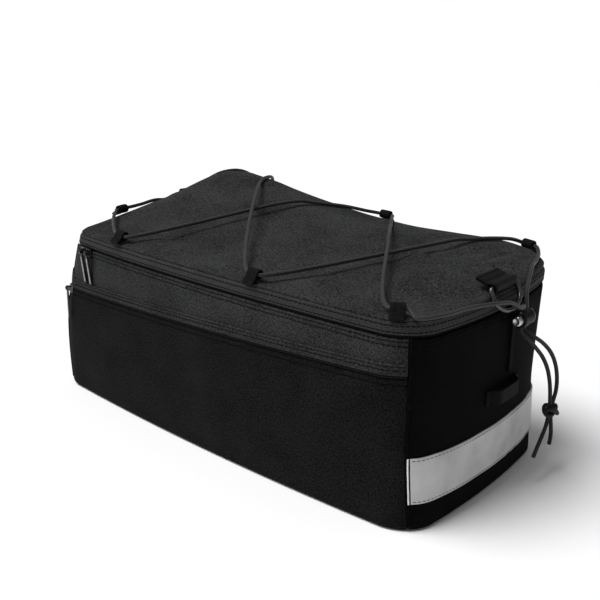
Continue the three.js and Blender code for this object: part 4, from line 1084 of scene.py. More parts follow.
tub_piece, tub_places, tub_rows = tub()
dress(tub_piece, CLOTH, ["body_tub"])
# painted shade: the rear end's faces take the much darker copy of the cloth
tub_piece.data.materials.append(REAR_SHADE_CLOTH)
rear_shade_columns = (tub_places > SEAM_TO) & (tub_places < REAR_SEAM_FAR)
for polygon in tub_piece.data.polygons:
    column = polygon.vertices[0] // tub_rows
    if len(polygon.vertices) == 4 and rear_shade_columns[column % len(tub_places)]:
        polygon.material_index = 1
print("tub", len(tub_piece.data.polygons), "faces")

# %% [markdown]
# ## Panels on the wall
# The pocket's panels, the flap, the band and the zips are all strips of cloth on the wall. One function
# makes them. A strip has a lower and an upper edge, both free to climb along the bag, and each edge has
# a profile: pairs of a distance from the edge and a height, which roll the hem over and press a groove
# where the sewing runs. Grooves made in the mesh hold real shadow, where bump alone looks painted on.

# %% Strips with hems
GROOVE_DEPTH, GROOVE_LIP = 0.00034, 0.00005
GROOVE_HALF, GROOVE_FLAT = 0.0007, 0.00025
HEM_ROLL = ((0.0, 1.0), (0.25, 0.45), (0.7, 0.1), (1.3, 0.0))


def hem_profile(roll, grooves=()):
    """Distances from an edge with their heights: the rolled edge, then a groove at each row of stitches."""
    rows = [(roll * distance, -roll * drop) for distance, drop in HEM_ROLL]
    for groove in grooves:
        rows += [(groove - GROOVE_HALF, GROOVE_LIP), (groove - GROOVE_FLAT, -GROOVE_DEPTH),
                 (groove + GROOVE_FLAT, -GROOVE_DEPTH), (groove + GROOVE_HALF, GROOVE_LIP)]
    return rows


def plain_edge(*distances):
    """An edge that isn't rolled: rows at these distances, all level with the cloth."""
    return [(distance, 0.0) for distance in distances]


def strip_on_wall(name, places, low, high, low_hem, high_hem, middle, inner, outer, closed=False,
                  give=True, stand=None):
    """A strip between two lines on the wall, with a hem along each edge."""
    places = np.asarray(places)[:, None]
    low_at, high_at = low(places), high(places)
    low_end, high_end = low_hem[-1][0], high_hem[-1][0]
    rises, heights = [], []
    for distance, out in low_hem:
        rises.append(low_at + distance)
        heights.append(out)
    for share in np.linspace(0, 1, middle + 2)[1:-1]:
        rises.append(low_at + low_end + (high_at - low_at - low_end - high_end) * share)
        heights.append(0.0)
    for distance, out in reversed(high_hem):
        rises.append(high_at - distance)
        heights.append(out)
    z = np.concatenate(rises, axis=1)
    out = outer + np.array(heights)[None, :]
    lift = 0 if stand is None else stand(places)
    surface = cloth_wall if give else wall
    front = surface(places, z, out + lift + under_turn(z))
    rear = surface(places, z, inner + lift + under_turn(z))[:, ::-1]
    points = np.concatenate([front, rear], axis=1)
    run = np.broadcast_to(run_at(places), points.shape[:2])
    climb = np.concatenate([z, z[:, ::-1]], axis=1)
    weave = np.stack([run, climb, np.zeros(run.shape)], -1)
    return skin(name, points, closed, weave, sharp=50)


def level_line(height):
    """A line at one height all round."""
    return lambda u: np.full(np.shape(u), height)


def above_zip(distance):
    """A line at a distance above the lower edge of the pocket's zip."""
    return lambda u: pocket_line(u) - ZIP_GROOVE / 2 + distance


# %% Pocket panels and flap
TAPE_WIDTH = 0.007
FLAP_HEIGHT, FLAP_THICK = 0.008, 0.0013
FLAP_TOP = ZIP_GROOVE + FLAP_HEIGHT
EDGE, FLAP_EDGE = 0.0009, 0.0008
side_places = columns_between(SEAM_FROM, SEAM_TO)
pocket_panel = strip_on_wall(
    "pocket_panel", side_places, level_line(0.0006), above_zip(-GAP),
    plain_edge(0.0, 0.0012, 0.0024), hem_profile(EDGE, [POCKET_SEWING]), 46, -CLOTH_THICK, 0.0)
# painted shade: the pocket panel takes the darker copy of the bag's cloth
dress(pocket_panel, POCKET_SHADE_CLOTH, ["side_pocket_panel"])
upper_panel = strip_on_wall(
    "upper_panel", side_places, above_zip(TAPE_WIDTH + GAP), level_line(TUB_TOP),
    hem_profile(EDGE), hem_profile(EDGE, TOP_SEWING), 16, -CLOTH_THICK, 0.0)
dress(upper_panel, CLOTH, ["side_panel_upper"])
flap = strip_on_wall(
    "pocket_flap_cloth", side_places, above_zip(ZIP_GROOVE), above_zip(FLAP_TOP),
    hem_profile(FLAP_EDGE), hem_profile(EDGE, FLAP_SEWING), 5, GAP, GAP + FLAP_THICK)
dress(flap, CLOTH, ["pocket_flap"])
print("panels", [len(p.data.polygons) for p in (pocket_panel, upper_panel, flap)])

# %% Band and zip tapes
TAPE_THICK, TAPE_SINK = 0.0016, 0.0004
BAND_ROLL = 0.0014
round_places = columns_between(0, 8)[:-1]
band = strip_on_wall(
    "band", round_places, level_line(BAND_LOW), level_line(SEAM_HEIGHT),
    hem_profile(EDGE, [BAND_SEWING[0]]), hem_profile(BAND_ROLL, [BAND_SEWING[1]]), 5,
    -CLOTH_THICK, 0.0, closed=True, give=False)
dress(band, BINDING, ["lid_band"])
main_tape = strip_on_wall(
    "main_zip_tape", round_places, level_line(TUB_TOP + GAP), level_line(SEAM_HEIGHT - GAP),
    plain_edge(0.0, 0.001), plain_edge(0.0, 0.001), 2,
    -CLOTH_THICK - GAP - TAPE_THICK, -CLOTH_THICK - GAP, closed=True, give=False)
dress(main_tape, ZIP_TAPE, ["main_zip"])
pocket_tape = strip_on_wall(
    "pocket_zip_tape", side_places, above_zip(0.0), above_zip(TAPE_WIDTH),
    plain_edge(0.0, 0.0008), plain_edge(0.0, 0.0008), 3, -CLOTH_THICK, -TAPE_SINK)
dress(pocket_tape, ZIP_TAPE, ["pocket_zip"])
print("band and tapes", [len(p.data.polygons) for p in (band, main_tape, pocket_tape)])

# %% [markdown]
# ## The lid
# The lid is one dome of padded cloth over its seam, high at the far front corner and low along the
# pocket side. Its folds are few and soft: a shallow valley beside each tight stretch of lace, fine
# creases near the far rear corner, and a gathered dent under the ring. They are laid in from a
# short table, each fold a narrow valley with its own place, direction, length, width and depth, because
# a simulation gives folds but not these folds.

# %% Lid with its folds
LID_FOLDS = [
    {"along": 0.70, "across": 0.42, "turn": 62, "long": 0.050, "wide": 0.0050, "deep": 0.0030},
    {"along": 0.62, "across": 0.22, "turn": 18, "long": 0.034, "wide": 0.0042, "deep": 0.0026},
    {"along": 0.82, "across": 0.56, "turn": 74, "long": 0.030, "wide": 0.0034, "deep": 0.0027},
    {"along": 0.84, "across": 0.30, "turn": 40, "long": 0.030, "wide": 0.0026, "deep": 0.0021},
    {"along": 0.88, "across": 0.42, "turn": 52, "long": 0.026, "wide": 0.0022, "deep": 0.0019},
    {"along": 0.80, "across": -0.34, "turn": -38, "long": 0.030, "wide": 0.0070, "deep": 0.0036},
    {"along": 0.70, "across": -0.46, "turn": -30, "long": 0.028, "wide": 0.0060, "deep": 0.0021},
    {"along": 0.56, "across": -0.20, "turn": -68, "long": 0.055, "wide": 0.0085, "deep": 0.0026},
    {"along": -0.22, "across": -0.05, "turn": -76, "long": 0.070, "wide": 0.0100, "deep": 0.0022},
    {"along": -0.46, "across": -0.60, "turn": 12, "long": 0.060, "wide": 0.0060, "deep": 0.0017},
    {"along": 0.10, "across": -0.58, "turn": 14, "long": 0.060, "wide": 0.0070, "deep": 0.0017},
    {"along": -0.84, "across": -0.30, "turn": 66, "long": 0.040, "wide": 0.0080, "deep": 0.0021},
    {"along": 0.20, "across": 0.62, "turn": -12, "long": 0.070, "wide": 0.0110, "deep": 0.0021},
    {"along": 0.90, "across": 0.70, "turn": 80, "long": 0.020, "wide": 0.0030, "deep": 0.0026},
]
FOLD_CURVE = 0.15


def lid_folds(x, y):
    """How far the folds lower the lid."""
    lowered = np.zeros_like(x)
    for fold in LID_FOLDS:
        angle = math.radians(fold["turn"])
        from_x = x - (LID_MIDDLE + fold["along"] * LID_HALF[0])
        from_y = y - fold["across"] * LID_HALF[1]
        run = from_x * math.cos(angle) + from_y * math.sin(angle)
        off = from_y * math.cos(angle) - from_x * math.sin(angle)
        curved = off + FOLD_CURVE * run**2 / fold["long"]
        valley = np.exp(-((run / fold["long"]) ** 2) - (curved / fold["wide"]) ** 2)
        lowered = lowered + fold["deep"] * valley
    return lowered


# %% Broad waves and the lid's own mesh
LID_UNDULATION = [(0.061, 0.4, 0.7), (0.083, 1.1, 2.9), (0.047, 2.3, 5.1)]
UNDULATION_HEIGHT = 0.00022
LID_EDGE_ROLL, LID_ROLL_REACH, LID_FOLDS_FROM = 0.0012, 0.004, 0.06
LID_SPACING, LID_ROWS, INNER_STRIDE = 0.0021, 118, 9


def lid_waves(x, y):
    """Broad low waves that padded cloth always has."""
    height = sum(
        np.sin(2 * np.pi * (x * math.cos(angle) + y * math.sin(angle)) / length + start)
        for length, angle, start in LID_UNDULATION
    )
    return UNDULATION_HEIGHT * height


def lid_skin(u, share, edge=0.0, thick=0.0):
    """Points of the lid with its folds, its waves and the cloth's own sag."""
    points = lid_points(u, share, edge, thick)
    fade = np.clip((1 - share) / LID_FOLDS_FROM, 0, 1)
    lowered = -lid_folds(points[..., 0], points[..., 1]) + lid_waves(points[..., 0], points[..., 1])
    give = looked_up(lid_give, GIVE_PLACES, GIVE_SHARES, np.mod(u, 8), share)
    points[..., 2] += (lowered + give) * fade
    return points


def lid():
    """The lid's outer and inner skins, joined at the rim and each closed by a small flat face on top."""
    places = columns_between(0, 8, LID_SPACING)[:-1][:, None]
    shares = 1 - np.linspace(0, 0.985, LID_ROWS)[None, :] ** 1.6
    outer = lid_skin(places, shares)
    rolled = LID_EDGE_ROLL * np.exp(-(((1 - shares) / LID_ROLL_REACH) ** 2))
    outer[..., :2] -= rolled[..., None] * unit(outer[..., :2])
    inner = lid_skin(places, shares[:, ::INNER_STRIDE], TUB_WALL, TUB_WALL)[:, ::-1]
    points = np.concatenate([outer, inner], axis=1)
    columns, rows = points.shape[:2]
    faces = []
    for c in range(columns):
        d = (c + 1) % columns
        for r in range(rows):
            s = (r + 1) % rows
            if r != LID_ROWS - 1:
                faces.append((c * rows + r, d * rows + r, d * rows + s, c * rows + s))
    faces.append(tuple(c * rows + LID_ROWS - 1 for c in range(columns)))
    faces.append(tuple(c * rows + LID_ROWS for c in range(columns)))
    return add_mesh("lid", points.reshape(-1, 3), faces, points.reshape(-1, 3), 50)


lid_piece = dress(lid(), CLOTH, ["lid_panel"])
print("lid", len(lid_piece.data.polygons), "faces")

# %% [markdown]
# ## Thread
# Sewing is what tells cloth from moulded plastic. Each row of stitches is one mesh: a small capsule of
# thread, set again and again along a line with a gap between, sunk a little into its groove. The
# Array modifier with a curve could do this too, but it stretches the stitches where the curve bends.
# Setting each one by its own direction keeps them all alike.

# %% Stitches and other small repeats
def capsule(length, width, height, rings=5, sides=6):
    """A stretched bead: points and faces, lying along its own x."""
    points = [(-length / 2, 0, 0)]
    for i in range(1, rings):
        x = -math.cos(math.pi * i / rings)
        thick = (1 - abs(x) ** 2.6) ** 0.5
        for k in range(sides):
            angle = 2 * math.pi * k / sides
            across, up = width / 2 * thick * math.cos(angle), height / 2 * thick * math.sin(angle)
            points.append((x * length / 2, across, up))
    points.append((length / 2, 0, 0))
    last = len(points) - 1
    faces = []
    for k in range(sides):
        m = (k + 1) % sides
        faces.append((0, 1 + m, 1 + k))
        for i in range(rings - 2):
            a, b = 1 + i * sides, 1 + (i + 1) * sides
            faces.append((a + k, a + m, b + m, b + k))
        a = 1 + (rings - 2) * sides
        faces.append((a + k, a + m, last))
    return np.array(points), faces


def repeat_along(name, line, outward, stamp, pitch):
    """Sets a stamp again and again along a line, facing outward."""
    run = lengths_along(line)
    count = int(run[-1] / pitch)
    at = (np.arange(count) + 0.5) * run[-1] / count

    def sample(values):
        return np.stack([np.interp(at, run, values[:, k]) for k in range(3)], -1)

    middles = sample(line)
    ahead = unit(sample(tangents_of(line)))
    out = unit(sample(outward))
    out = unit(out - ahead * (out * ahead).sum(-1, keepdims=True))
    beside = np.cross(out, ahead)
    points, faces = stamp
    placed = (middles[:, None] + points[None, :, :1] * ahead[:, None] + points[None, :, 1:2] * beside[:, None]
              + points[None, :, 2:] * out[:, None])
    size = len(points)
    all_faces = [tuple(i * size + v for v in face) for i in range(count) for face in faces]
    return add_mesh(name, placed.reshape(-1, 3), all_faces, sharp=60)


STITCH = capsule(0.0027, 0.00055, 0.00046)
STITCH_PITCH = 0.0035
SUNK = 0.0001


def wall_line(places, height, out, give=True):
    """A line on the wall with its outward directions."""
    heights = height(places)
    surface = cloth_wall if give else wall
    return surface(places, heights, out), outward_of(places, heights)


def stitch_on_wall(name, places, height, out, give=True, pitch=STITCH_PITCH):
    """A row of stitches along a line on the wall."""
    line, outward = wall_line(places, height, out, give)
    return dress(repeat_along(name, line, outward, STITCH, pitch), THREAD)


ring_places = np.linspace(0, 8, 1200)
fine_side = np.linspace(SEAM_FROM + 0.01, SEAM_TO - 0.01, 500)
rest_places = np.linspace(SEAM_TO + SEAM_STEP, 8 + SEAM_FROM - SEAM_STEP, 900)
stitch_on_wall("band_stitches_low", ring_places, level_line(BAND_LOW + BAND_SEWING[0]), -SUNK, give=False)
stitch_on_wall("band_stitches_high", ring_places, level_line(SEAM_HEIGHT - BAND_SEWING[1]), -SUNK, give=False)
for row, distance in enumerate(TOP_SEWING, 1):
    stitch_on_wall(f"tub_stitches_{row}", rest_places, level_line(TUB_TOP - distance), -2 * SUNK)
    stitch_on_wall(f"upper_stitches_{row}", fine_side, level_line(TUB_TOP - distance), -SUNK)
for row, distance in enumerate(FLAP_SEWING, 1):
    stitch_on_wall(f"flap_stitches_{row}", fine_side, above_zip(FLAP_TOP - distance), GAP + FLAP_THICK - SUNK)
stitch_on_wall("pocket_stitches", fine_side, above_zip(-GAP - POCKET_SEWING), -SUNK)

# %% Zip teeth
TOOTH = capsule(0.0009, 0.0022, 0.0011, rings=4)
TOOTH_PITCH = 0.0015
POCKET_TEETH_SINK = 0.0003
line, outward = wall_line(ring_places, level_line((TUB_TOP + BAND_LOW) / 2), -CLOTH_THICK - SUNK, give=False)
dress(repeat_along("main_zip_teeth", line, outward, TOOTH, TOOTH_PITCH), TEETH)
line, outward = wall_line(fine_side, pocket_line, -POCKET_TEETH_SINK)
dress(repeat_along("pocket_zip_teeth", line, outward, TOOTH, TOOTH_PITCH), TEETH)

# %% [markdown]
# ## Corner seams
# Where two panels meet at a corner, their edges are turned in and sewn over a thin cord, which stands up
# as a ridge from the base to the zip. A sweep of a small round section along the wall makes it.

# %% Corner seams
PIPING = 0.0016
PIPING_OUT = 0.0002
SEAM_STITCHES_OFF, SEAM_STITCHES_OUT = 0.06, 0.0001
CORNER_SEAMS = {
    "rear_near": SEAM_TO + SEAM_STEP / 2, "rear_far": REAR_SEAM_FAR,
    "front_near": 8 + SEAM_FROM - SEAM_STEP / 2, "front_far": FRONT_SEAM_FAR,
}
seam_heights = np.linspace(0.003, TUB_TOP - 0.0004, 90)
for seam_name, place in CORNER_SEAMS.items():
    seam_place = np.full(len(seam_heights), place)
    seam_line = cloth_wall(seam_place, seam_heights, PIPING_OUT)
    # painted shade: the piping takes the rear end's darker copy of the cloth
    dress(tube(f"seam_{seam_name}", seam_line, PIPING, 10), REAR_SHADE_CLOTH)
    stitch_on_wall(f"seam_stitches_{seam_name}", seam_place + SEAM_STITCHES_OFF, lambda u: seam_heights,
                   SEAM_STITCHES_OUT)
print("corner seams", list(CORNER_SEAMS))

# %% [markdown]
# ## The reflective strip
# A band of grey film is sewn across the rear end between the corner seams, over a dark border at the
# base. It follows the cloth below and shows its small dents. A thin edge stands beside the near corner,
# where the film is folded into the seam. It takes a much lighter copy of the film's grey: a painted
# highlight along the fold.

# %% Reflective strip
STRIP_LOW, STRIP_HIGH, STRIP_THICK, STRIP_INSET = 0.020, 0.0525, 0.001, 0.035
STRIP_ROLL, STRIP_SEWING = 0.0004, 0.0016
STRIP_EDGE, STRIP_EDGE_OUT = 0.0012, 0.0009
DENT_SHARE = 0.5
STRIP_DENTS = [
    {"y": 0.026, "wide": 0.0024, "deep": 0.0009}, {"y": 0.036, "wide": 0.0030, "deep": 0.0006},
    {"y": -0.020, "wide": 0.0100, "deep": 0.0006}, {"y": 0.062, "wide": 0.0050, "deep": 0.0006},
]


def strip_dents(places):
    """Upright dents of the film, by their distance from the middle line."""
    y = outline(places, STRIP_HIGH)[1]
    depth = sum(dent["deep"] * np.exp(-(((y - dent["y"]) / dent["wide"]) ** 2)) for dent in STRIP_DENTS)
    return -DENT_SHARE * depth


STRIP_FROM = SEAM_TO + SEAM_STEP + STRIP_INSET
strip_places = columns_between(STRIP_FROM, REAR_SEAM_FAR, 0.002)
strip = strip_on_wall(
    "strip", strip_places, level_line(STRIP_LOW), level_line(STRIP_HIGH), hem_profile(STRIP_ROLL),
    hem_profile(STRIP_ROLL), 20, GAP, GAP + STRIP_THICK, stand=strip_dents)
dress(strip, FILM, ["reflective_strip"])
edge_heights = np.linspace(STRIP_LOW, STRIP_HIGH, 40)
edge_line = cloth_wall(np.full(len(edge_heights), SEAM_TO + SEAM_STEP), edge_heights, STRIP_EDGE_OUT)
# painted highlight: the folded edge takes the much lighter copy of the film's grey
dress(tube("strip_highlight_edge", edge_line, STRIP_EDGE, 8), FILM_HIGHLIGHT)
strip_fine = np.linspace(SEAM_TO + 0.1, REAR_SEAM_FAR - 0.04, 400)
for row, height in (("low", STRIP_LOW + STRIP_SEWING), ("high", STRIP_HIGH - STRIP_SEWING)):
    stitch_on_wall(f"strip_stitches_{row}", strip_fine, level_line(height), GAP + STRIP_THICK)
print("strip", len(strip.data.polygons), "faces")

# %% [markdown]
# ## Folded webbing
# The lace loops and the ring's tab are straps folded round what they hold and sewn down at their roots.
# Their solids say where they lie: the root is the flat end face with two straps' thickness. From that
# face come the root's middle and the direction of the strap, and the fold is drawn again as one strap of
# even thickness with round edges.

# %% Frames of the folded straps
WEBBING_THICK = 0.0015
STRAP_PLAY, STRAP_SLACK = 0.0001, 0.96
FACES_UP, NEVER = 0.9, 1e-3


def flat_faces(node):
    """The flat sides of a solid: middle, normal and area of each."""
    bm = welded(node)
    found = []
    for face, flat in flat_sides(bm):
        area = sum(f.calc_area() for f in flat)
        middle = sum((f.calc_center_median() * f.calc_area() for f in flat), Vector()) / area
        found.append((np.array(middle), np.array(face.normal), area))
    bm.free()
    return found


def strap_frame(node_name, width):
    """Root middle, direction ahead, upward and sideways of a folded strap."""

    def mismatch(side_face):
        """How far a flat side's area is from the root's. A side that faces up is never the root."""
        _, normal, area = side_face
        return abs(area - 2 * WEBBING_THICK * width) + NEVER * (normal[2] > FACES_UP)

    middle, normal, _ = min(flat_faces(nodes[node_name]), key=mismatch)
    ahead = -normal
    side = unit(np.cross((0, 0, 1), ahead))
    return middle, ahead, np.cross(ahead, side), side


def folded_strap(name, strap, width, root, eye_length, eye_height):
    """One strap from its root, round the eye and back."""
    origin, ahead, up, side = strap
    half = WEBBING_THICK / 2
    middle = eye_height / 2 + half
    bend = root + eye_length - eye_height / 2
    arc = np.linspace(-np.pi / 2, np.pi / 2, 9)
    path = [(0, -half), (root * 0.5, -half), (root, -half - STRAP_PLAY)]
    path += [(bend + middle * math.cos(a), middle * math.sin(a)) for a in arc]
    path += [(root, half + STRAP_PLAY), (root * 0.5, half), (0, half)]
    flat = smooth_line([(x, 0, z) for x, z in path], 0.0007)
    line = origin + flat[:, :1] * ahead + flat[:, 2:] * up
    section = flat_section(width, WEBBING_THICK * STRAP_SLACK)
    return sweep(name, line, side, unit(np.cross(side, tangents_of(line))), section)


def stitches_across(name, strap, root, share, reach, pitch):
    """A row of stitches across a strap's root, at a share of its length and this far to each side."""
    origin, ahead, up, side = strap
    across = side * np.linspace(-reach, reach, 12)[:, None]
    line = origin + ahead * root * share + up * WEBBING_THICK + across
    return dress(repeat_along(name, line, np.tile(up, (12, 1)), STITCH, pitch), THREAD)


# %% Lace loops
LOOPS = [
    "near_rear", "far_middle", "near_front", "front_near",
    "front_far", "far_front", "near_middle", "far_rear",
]
LOOP_WIDTH, LOOP_ROOT, LOOP_EYE, LOOP_EYE_HEIGHT = 0.010, 0.004, 0.0074, 0.0046
LOOP_SEWN_AT, LOOP_SEWN_REACH, LOOP_STITCH_PITCH = 0.55, 0.0042, 0.0028
loop_roots = []
for loop_name in LOOPS:
    loop_frame = strap_frame(f"lace_loop_{loop_name}", LOOP_WIDTH)
    loop_roots.append(loop_frame[0])
    loop = folded_strap(f"loop_{loop_name}", loop_frame, LOOP_WIDTH, LOOP_ROOT, LOOP_EYE, LOOP_EYE_HEIGHT)
    dress(loop, WEBBING, [f"lace_loop_{loop_name}"])
    stitches_across(f"loop_stitches_{loop_name}", loop_frame, LOOP_ROOT, LOOP_SEWN_AT, LOOP_SEWN_REACH,
                    LOOP_STITCH_PITCH)
print("loops", len(LOOPS))

# %% [markdown]
# ## The lace
# The elastic lace runs from the lock through all eight loops and back. Its solid already follows the real
# route, so its middle line is read from the rings of that solid, smoothed, and covered with a braided
# sleeve. Drawing the route again by hand would only bring in errors. The solid bridges the hollows at the
# front and along the far edge, where a real lace presses into soft padding and lies on the cloth. So there
# the line comes down to the lid, but not beside a loop, which holds it up.

# %% Lace
HUG_CLEARANCE = LACE_DIAMETER / 2 + 0.0004
HUG_FROM_Y, HUG_FROM_X, HUG_BLEND = 0.050, -0.150, 0.012
LOOP_HOLDS = (0.011, 0.030)
CLOTH_BELOW, CLOTH_POINTS = 0.0035, 6
SMOOTHING = 17
LOCK_LOOP_DIAMETER = 0.002


def eased(value):
    """Rises smoothly from 0 to 1."""
    value = np.clip(value, 0, 1)
    return value * value * (3 - 2 * value)


def hugging(line):
    """The line let down on the lid at the front and along the far edge."""
    top = np.array([v.co for v in lid_piece.data.vertices])
    plan = tree_of([(x, y, 0) for x, y, _ in top])
    lowered = np.zeros(len(line))
    for k, point in enumerate(line):
        near = plan.find_n((point[0], point[1], 0), CLOTH_POINTS)
        if near[0][2] < CLOTH_BELOW:
            clear = point[2] - max(top[i][2] for _, i, _ in near) - HUG_CLEARANCE
            lowered[k] = max(0.0, clear)
    side = eased((line[:, 1] - HUG_FROM_Y) / HUG_BLEND)
    front = eased((HUG_FROM_X - line[:, 0]) / HUG_BLEND)
    held = np.linalg.norm(line[:, None] - np.array(loop_roots)[None], axis=2).min(axis=1)
    free = eased((held - LOOP_HOLDS[0]) / (LOOP_HOLDS[1] - LOOP_HOLDS[0]))
    lowered = lowered * np.maximum(side, front) * free
    window = np.hanning(SMOOTHING)
    lowered = np.convolve(lowered, window / window.sum(), mode="same")
    print("lace let down by up to", round(float(lowered.max()) * 1000, 1), "mm")
    return line - lowered[:, None] * np.array([0, 0, 1.0])


lace_line = hugging(smooth_line(rings_of(nodes["elastic_lace"], LACE_DIAMETER), 0.0013))
dress(tube("lace", lace_line, LACE_DIAMETER), BRAID, ["elastic_lace"])
lock_loop_line = smooth_line(rings_of(nodes["cord_lock_loop"], LOCK_LOOP_DIAMETER), 0.0008)
dress(tube("lock_loop", lock_loop_line, LOCK_LOOP_DIAMETER), BRAID, ["cord_lock_loop"])
print("lace", round(float(lengths_along(lace_line)[-1]), 3), "m long")

# %% [markdown]
# ## The ring and its tab
# A D-shaped ring hangs in a short tab of webbing at the rear edge of the lid. It is a bent wire, so a
# round section swept along a D is the true shape: a straight bar inside the tab and half an ellipse
# below. A bar and a torus joined together would show a step where they meet.

# %% Ring and tab
TAB_WIDTH, TAB_ROOT = 0.030, 0.009
TAB_SEWN_AT, TAB_SEWN_REACH = (0.2, 0.75), 0.013
RING_BAR, RING_WIDTH, RING_DROP = 0.0034, 0.039, 0.022
RING_LEAN = math.radians(63)
RING_ROUND, RING_CORNER, RING_SLACK = 0.6, 0.003, 0.98
EYE_HEIGHT = RING_BAR + 3 * GAP
EYE_LENGTH = RING_BAR * 2


def ring_plan():
    """Middle line of the ring's bar, flat: a straight bar, two small corners and half an ellipse."""
    half = RING_WIDTH / 2 - RING_BAR / 2
    drop = RING_DROP * RING_ROUND - RING_BAR / 2
    low = -RING_DROP + RING_BAR + drop
    bevel = RING_CORNER * 0.25
    start = [(-half * 0.5, 0.0), (-half + RING_CORNER, 0.0), (-half + bevel, -bevel), (-half, -RING_CORNER)]
    arc = [(half * math.cos(a), low + drop * math.sin(a)) for a in np.linspace(np.pi, 2 * np.pi, 25)]
    finish = [(-x, y) for x, y in reversed(start)]
    points = [(0.0, 0.0), *start, *arc, *finish, (0.0, 0.0)]
    return smooth_line([(x, y, 0) for x, y in points], 0.0008)[:-1]


tab_frame = strap_frame("ring_tab", TAB_WIDTH)
tab = folded_strap("tab", tab_frame, TAB_WIDTH, TAB_ROOT, EYE_LENGTH, EYE_HEIGHT)
dress(tab, TAB_WEBBING, ["ring_tab"])
across = np.array([0, 1, 0])
hang = np.array([-math.cos(RING_LEAN), 0, math.sin(RING_LEAN)])
facing = np.cross(across, hang)
eye = tab_frame[0] + tab_frame[1] * (TAB_ROOT + EYE_LENGTH - EYE_HEIGHT / 2)
ring_flat = ring_plan()
ring_line = eye + ring_flat[:, :1] * across + ring_flat[:, 1:2] * hang
ring_side = np.cross(facing, tangents_of(ring_line, closed=True))
ring = sweep("ring", ring_line, ring_side, facing, round_section(RING_BAR * RING_SLACK, 14), closed=True)
dress(ring, DARK_ZINC, ["d_ring"])
for row, share in enumerate(TAB_SEWN_AT, 1):
    stitches_across(f"tab_stitches_{row}", tab_frame, TAB_ROOT, share, TAB_SEWN_REACH, STITCH_PITCH)
print("ring", len(ring.data.polygons), "faces")

# %% [markdown]
# ## The cord lock
# The lock is a small moulded barrel with a sprung button in its end. Both are turned shapes, so a
# profile spun round the lock's own axis gives them with few numbers: grip ribs on the barrel, and a
# dished face on the button. The button moves by itself, so it rides on its own body.

# %% Lock and button
LOCK_DIAMETER = 0.012
LOCK_Y, LOCK_Z = 0.0155, 0.1277
LOCK_BORE, LOCK_WALL, AXIS_GAP = 0.004, 0.002, 0.0005
GRIP_RIBS, GRIP_FROM, GRIP_PITCH, GRIP_DEPTH = 6, 0.0028, 0.0019, 0.00035
GRIP_WIDE, GRIP_NARROW = 0.0006, 0.0003


def solid_frame(node_name, axis):
    """Middle and length of a solid along an axis."""
    points = np.array([v.co for v in nodes[node_name].data.vertices])
    along = points @ axis
    middle = (points.max(0) + points.min(0)) / 2
    return middle + axis * ((along.max() + along.min()) / 2 - middle @ axis), along.max() - along.min()


def spun(name, profile, middle, axis, sides=48):
    """A closed profile of pairs (radius, height) turned about an axis."""
    side = unit(np.cross(axis, (0, 0, 1)))
    up = np.cross(side, axis)
    angles = np.linspace(0, 2 * np.pi, sides, endpoint=False)
    profile = np.array(profile)
    around = np.cos(angles)[:, None, None] * side + np.sin(angles)[:, None, None] * up
    rings = profile[None, :, :1] * around + profile[None, :, 1:] * axis + middle
    return add_mesh(name, rings.reshape(-1, 3), faces_round(sides, len(profile)), sharp=35)


def barrel_profile(half):
    """The barrel, counted from its middle: bore, mouth, grooves between the grip ribs, and closed end."""
    radius = LOCK_DIAMETER / 2
    grips = []
    for k in range(GRIP_RIBS):
        centre = -half + GRIP_FROM + k * GRIP_PITCH
        grips += [(radius, centre - GRIP_WIDE), (radius - GRIP_DEPTH, centre - GRIP_NARROW),
                  (radius - GRIP_DEPTH, centre + GRIP_NARROW), (radius, centre + GRIP_WIDE)]
    return [
        (AXIS_GAP, half - LOCK_WALL), (LOCK_BORE, half - LOCK_WALL), (LOCK_BORE, -half + 0.0003),
        (0.0043, -half), (0.0052, -half), (radius, -half + 0.0008), *grips,
        (radius, half - 0.0012), (0.0057, half - 0.0005), (0.005, half), (AXIS_GAP, half),
    ]


def button_profile(tip):
    """The button, counted from its middle: a dished face at its tip and a plain stem."""
    return [
        (0.0003, tip + 0.0007), (0.0016, tip + 0.0005), (0.0024, tip), (0.0031, tip + 0.0002),
        (0.0036, tip + 0.0008), (0.0037, tip + 0.0016), (0.0037, -tip), (0.0003, -tip),
    ]


lock_place = place_on_end(LOCK_Y)
lock_out = outward_of(lock_place, LOCK_Z)
lock_axis = np.array([-lock_out[1], lock_out[0], 0])
lock_middle, lock_length = solid_frame("cord_lock_body", lock_axis)
barrel = spun("lock_barrel", barrel_profile(lock_length / 2), lock_middle, lock_axis)
dress(barrel, PLASTIC, ["cord_lock_body"])
button_middle, button_length = solid_frame("cord_lock_button", lock_axis)
button = spun("lock_button_cap", button_profile(-button_length / 2), button_middle, lock_axis)
dress(button, ZINC, ["cord_lock_button"], body="lock_button")
print("lock", round(float(lock_length), 4), "m, button", round(float(button_length), 4), "m")

# %% [markdown]
# ## Straps on the rear end
# A narrow tether holds the lock, and a flat loop of webbing across the end takes a clip-on lamp. Both are
# straps that lie on the wall; the loop stands off it between its two sewn ends.

# %% Tether and lamp loop
TETHER_LENGTH, TETHER_WIDTH = 0.040, 0.006
LAMP_Y, LAMP_Z = 0.0065, 0.076
LAMP_WIDTH, LAMP_HEIGHT, LAMP_STAND = 0.048, 0.011, 0.0056
LAMP_END, LAMP_SEWN = 0.16, 0.6
LAMP_SEWN_IN, LAMP_SEWN_REACH, LAMP_STITCH_PITCH = 0.012, 0.0045, 0.003
UP = np.array([0, 0, 1.0])

tether_heights = np.linspace(LOCK_Z - TETHER_LENGTH, LOCK_Z, 60)
tether_line = cloth_wall(np.full(60, lock_place), tether_heights, GAP + WEBBING_THICK / 2)
tether = sweep("tether", tether_line, lock_axis, lock_out, flat_section(TETHER_WIDTH, WEBBING_THICK))
dress(tether, ZIP_TAPE, ["lock_tether"])

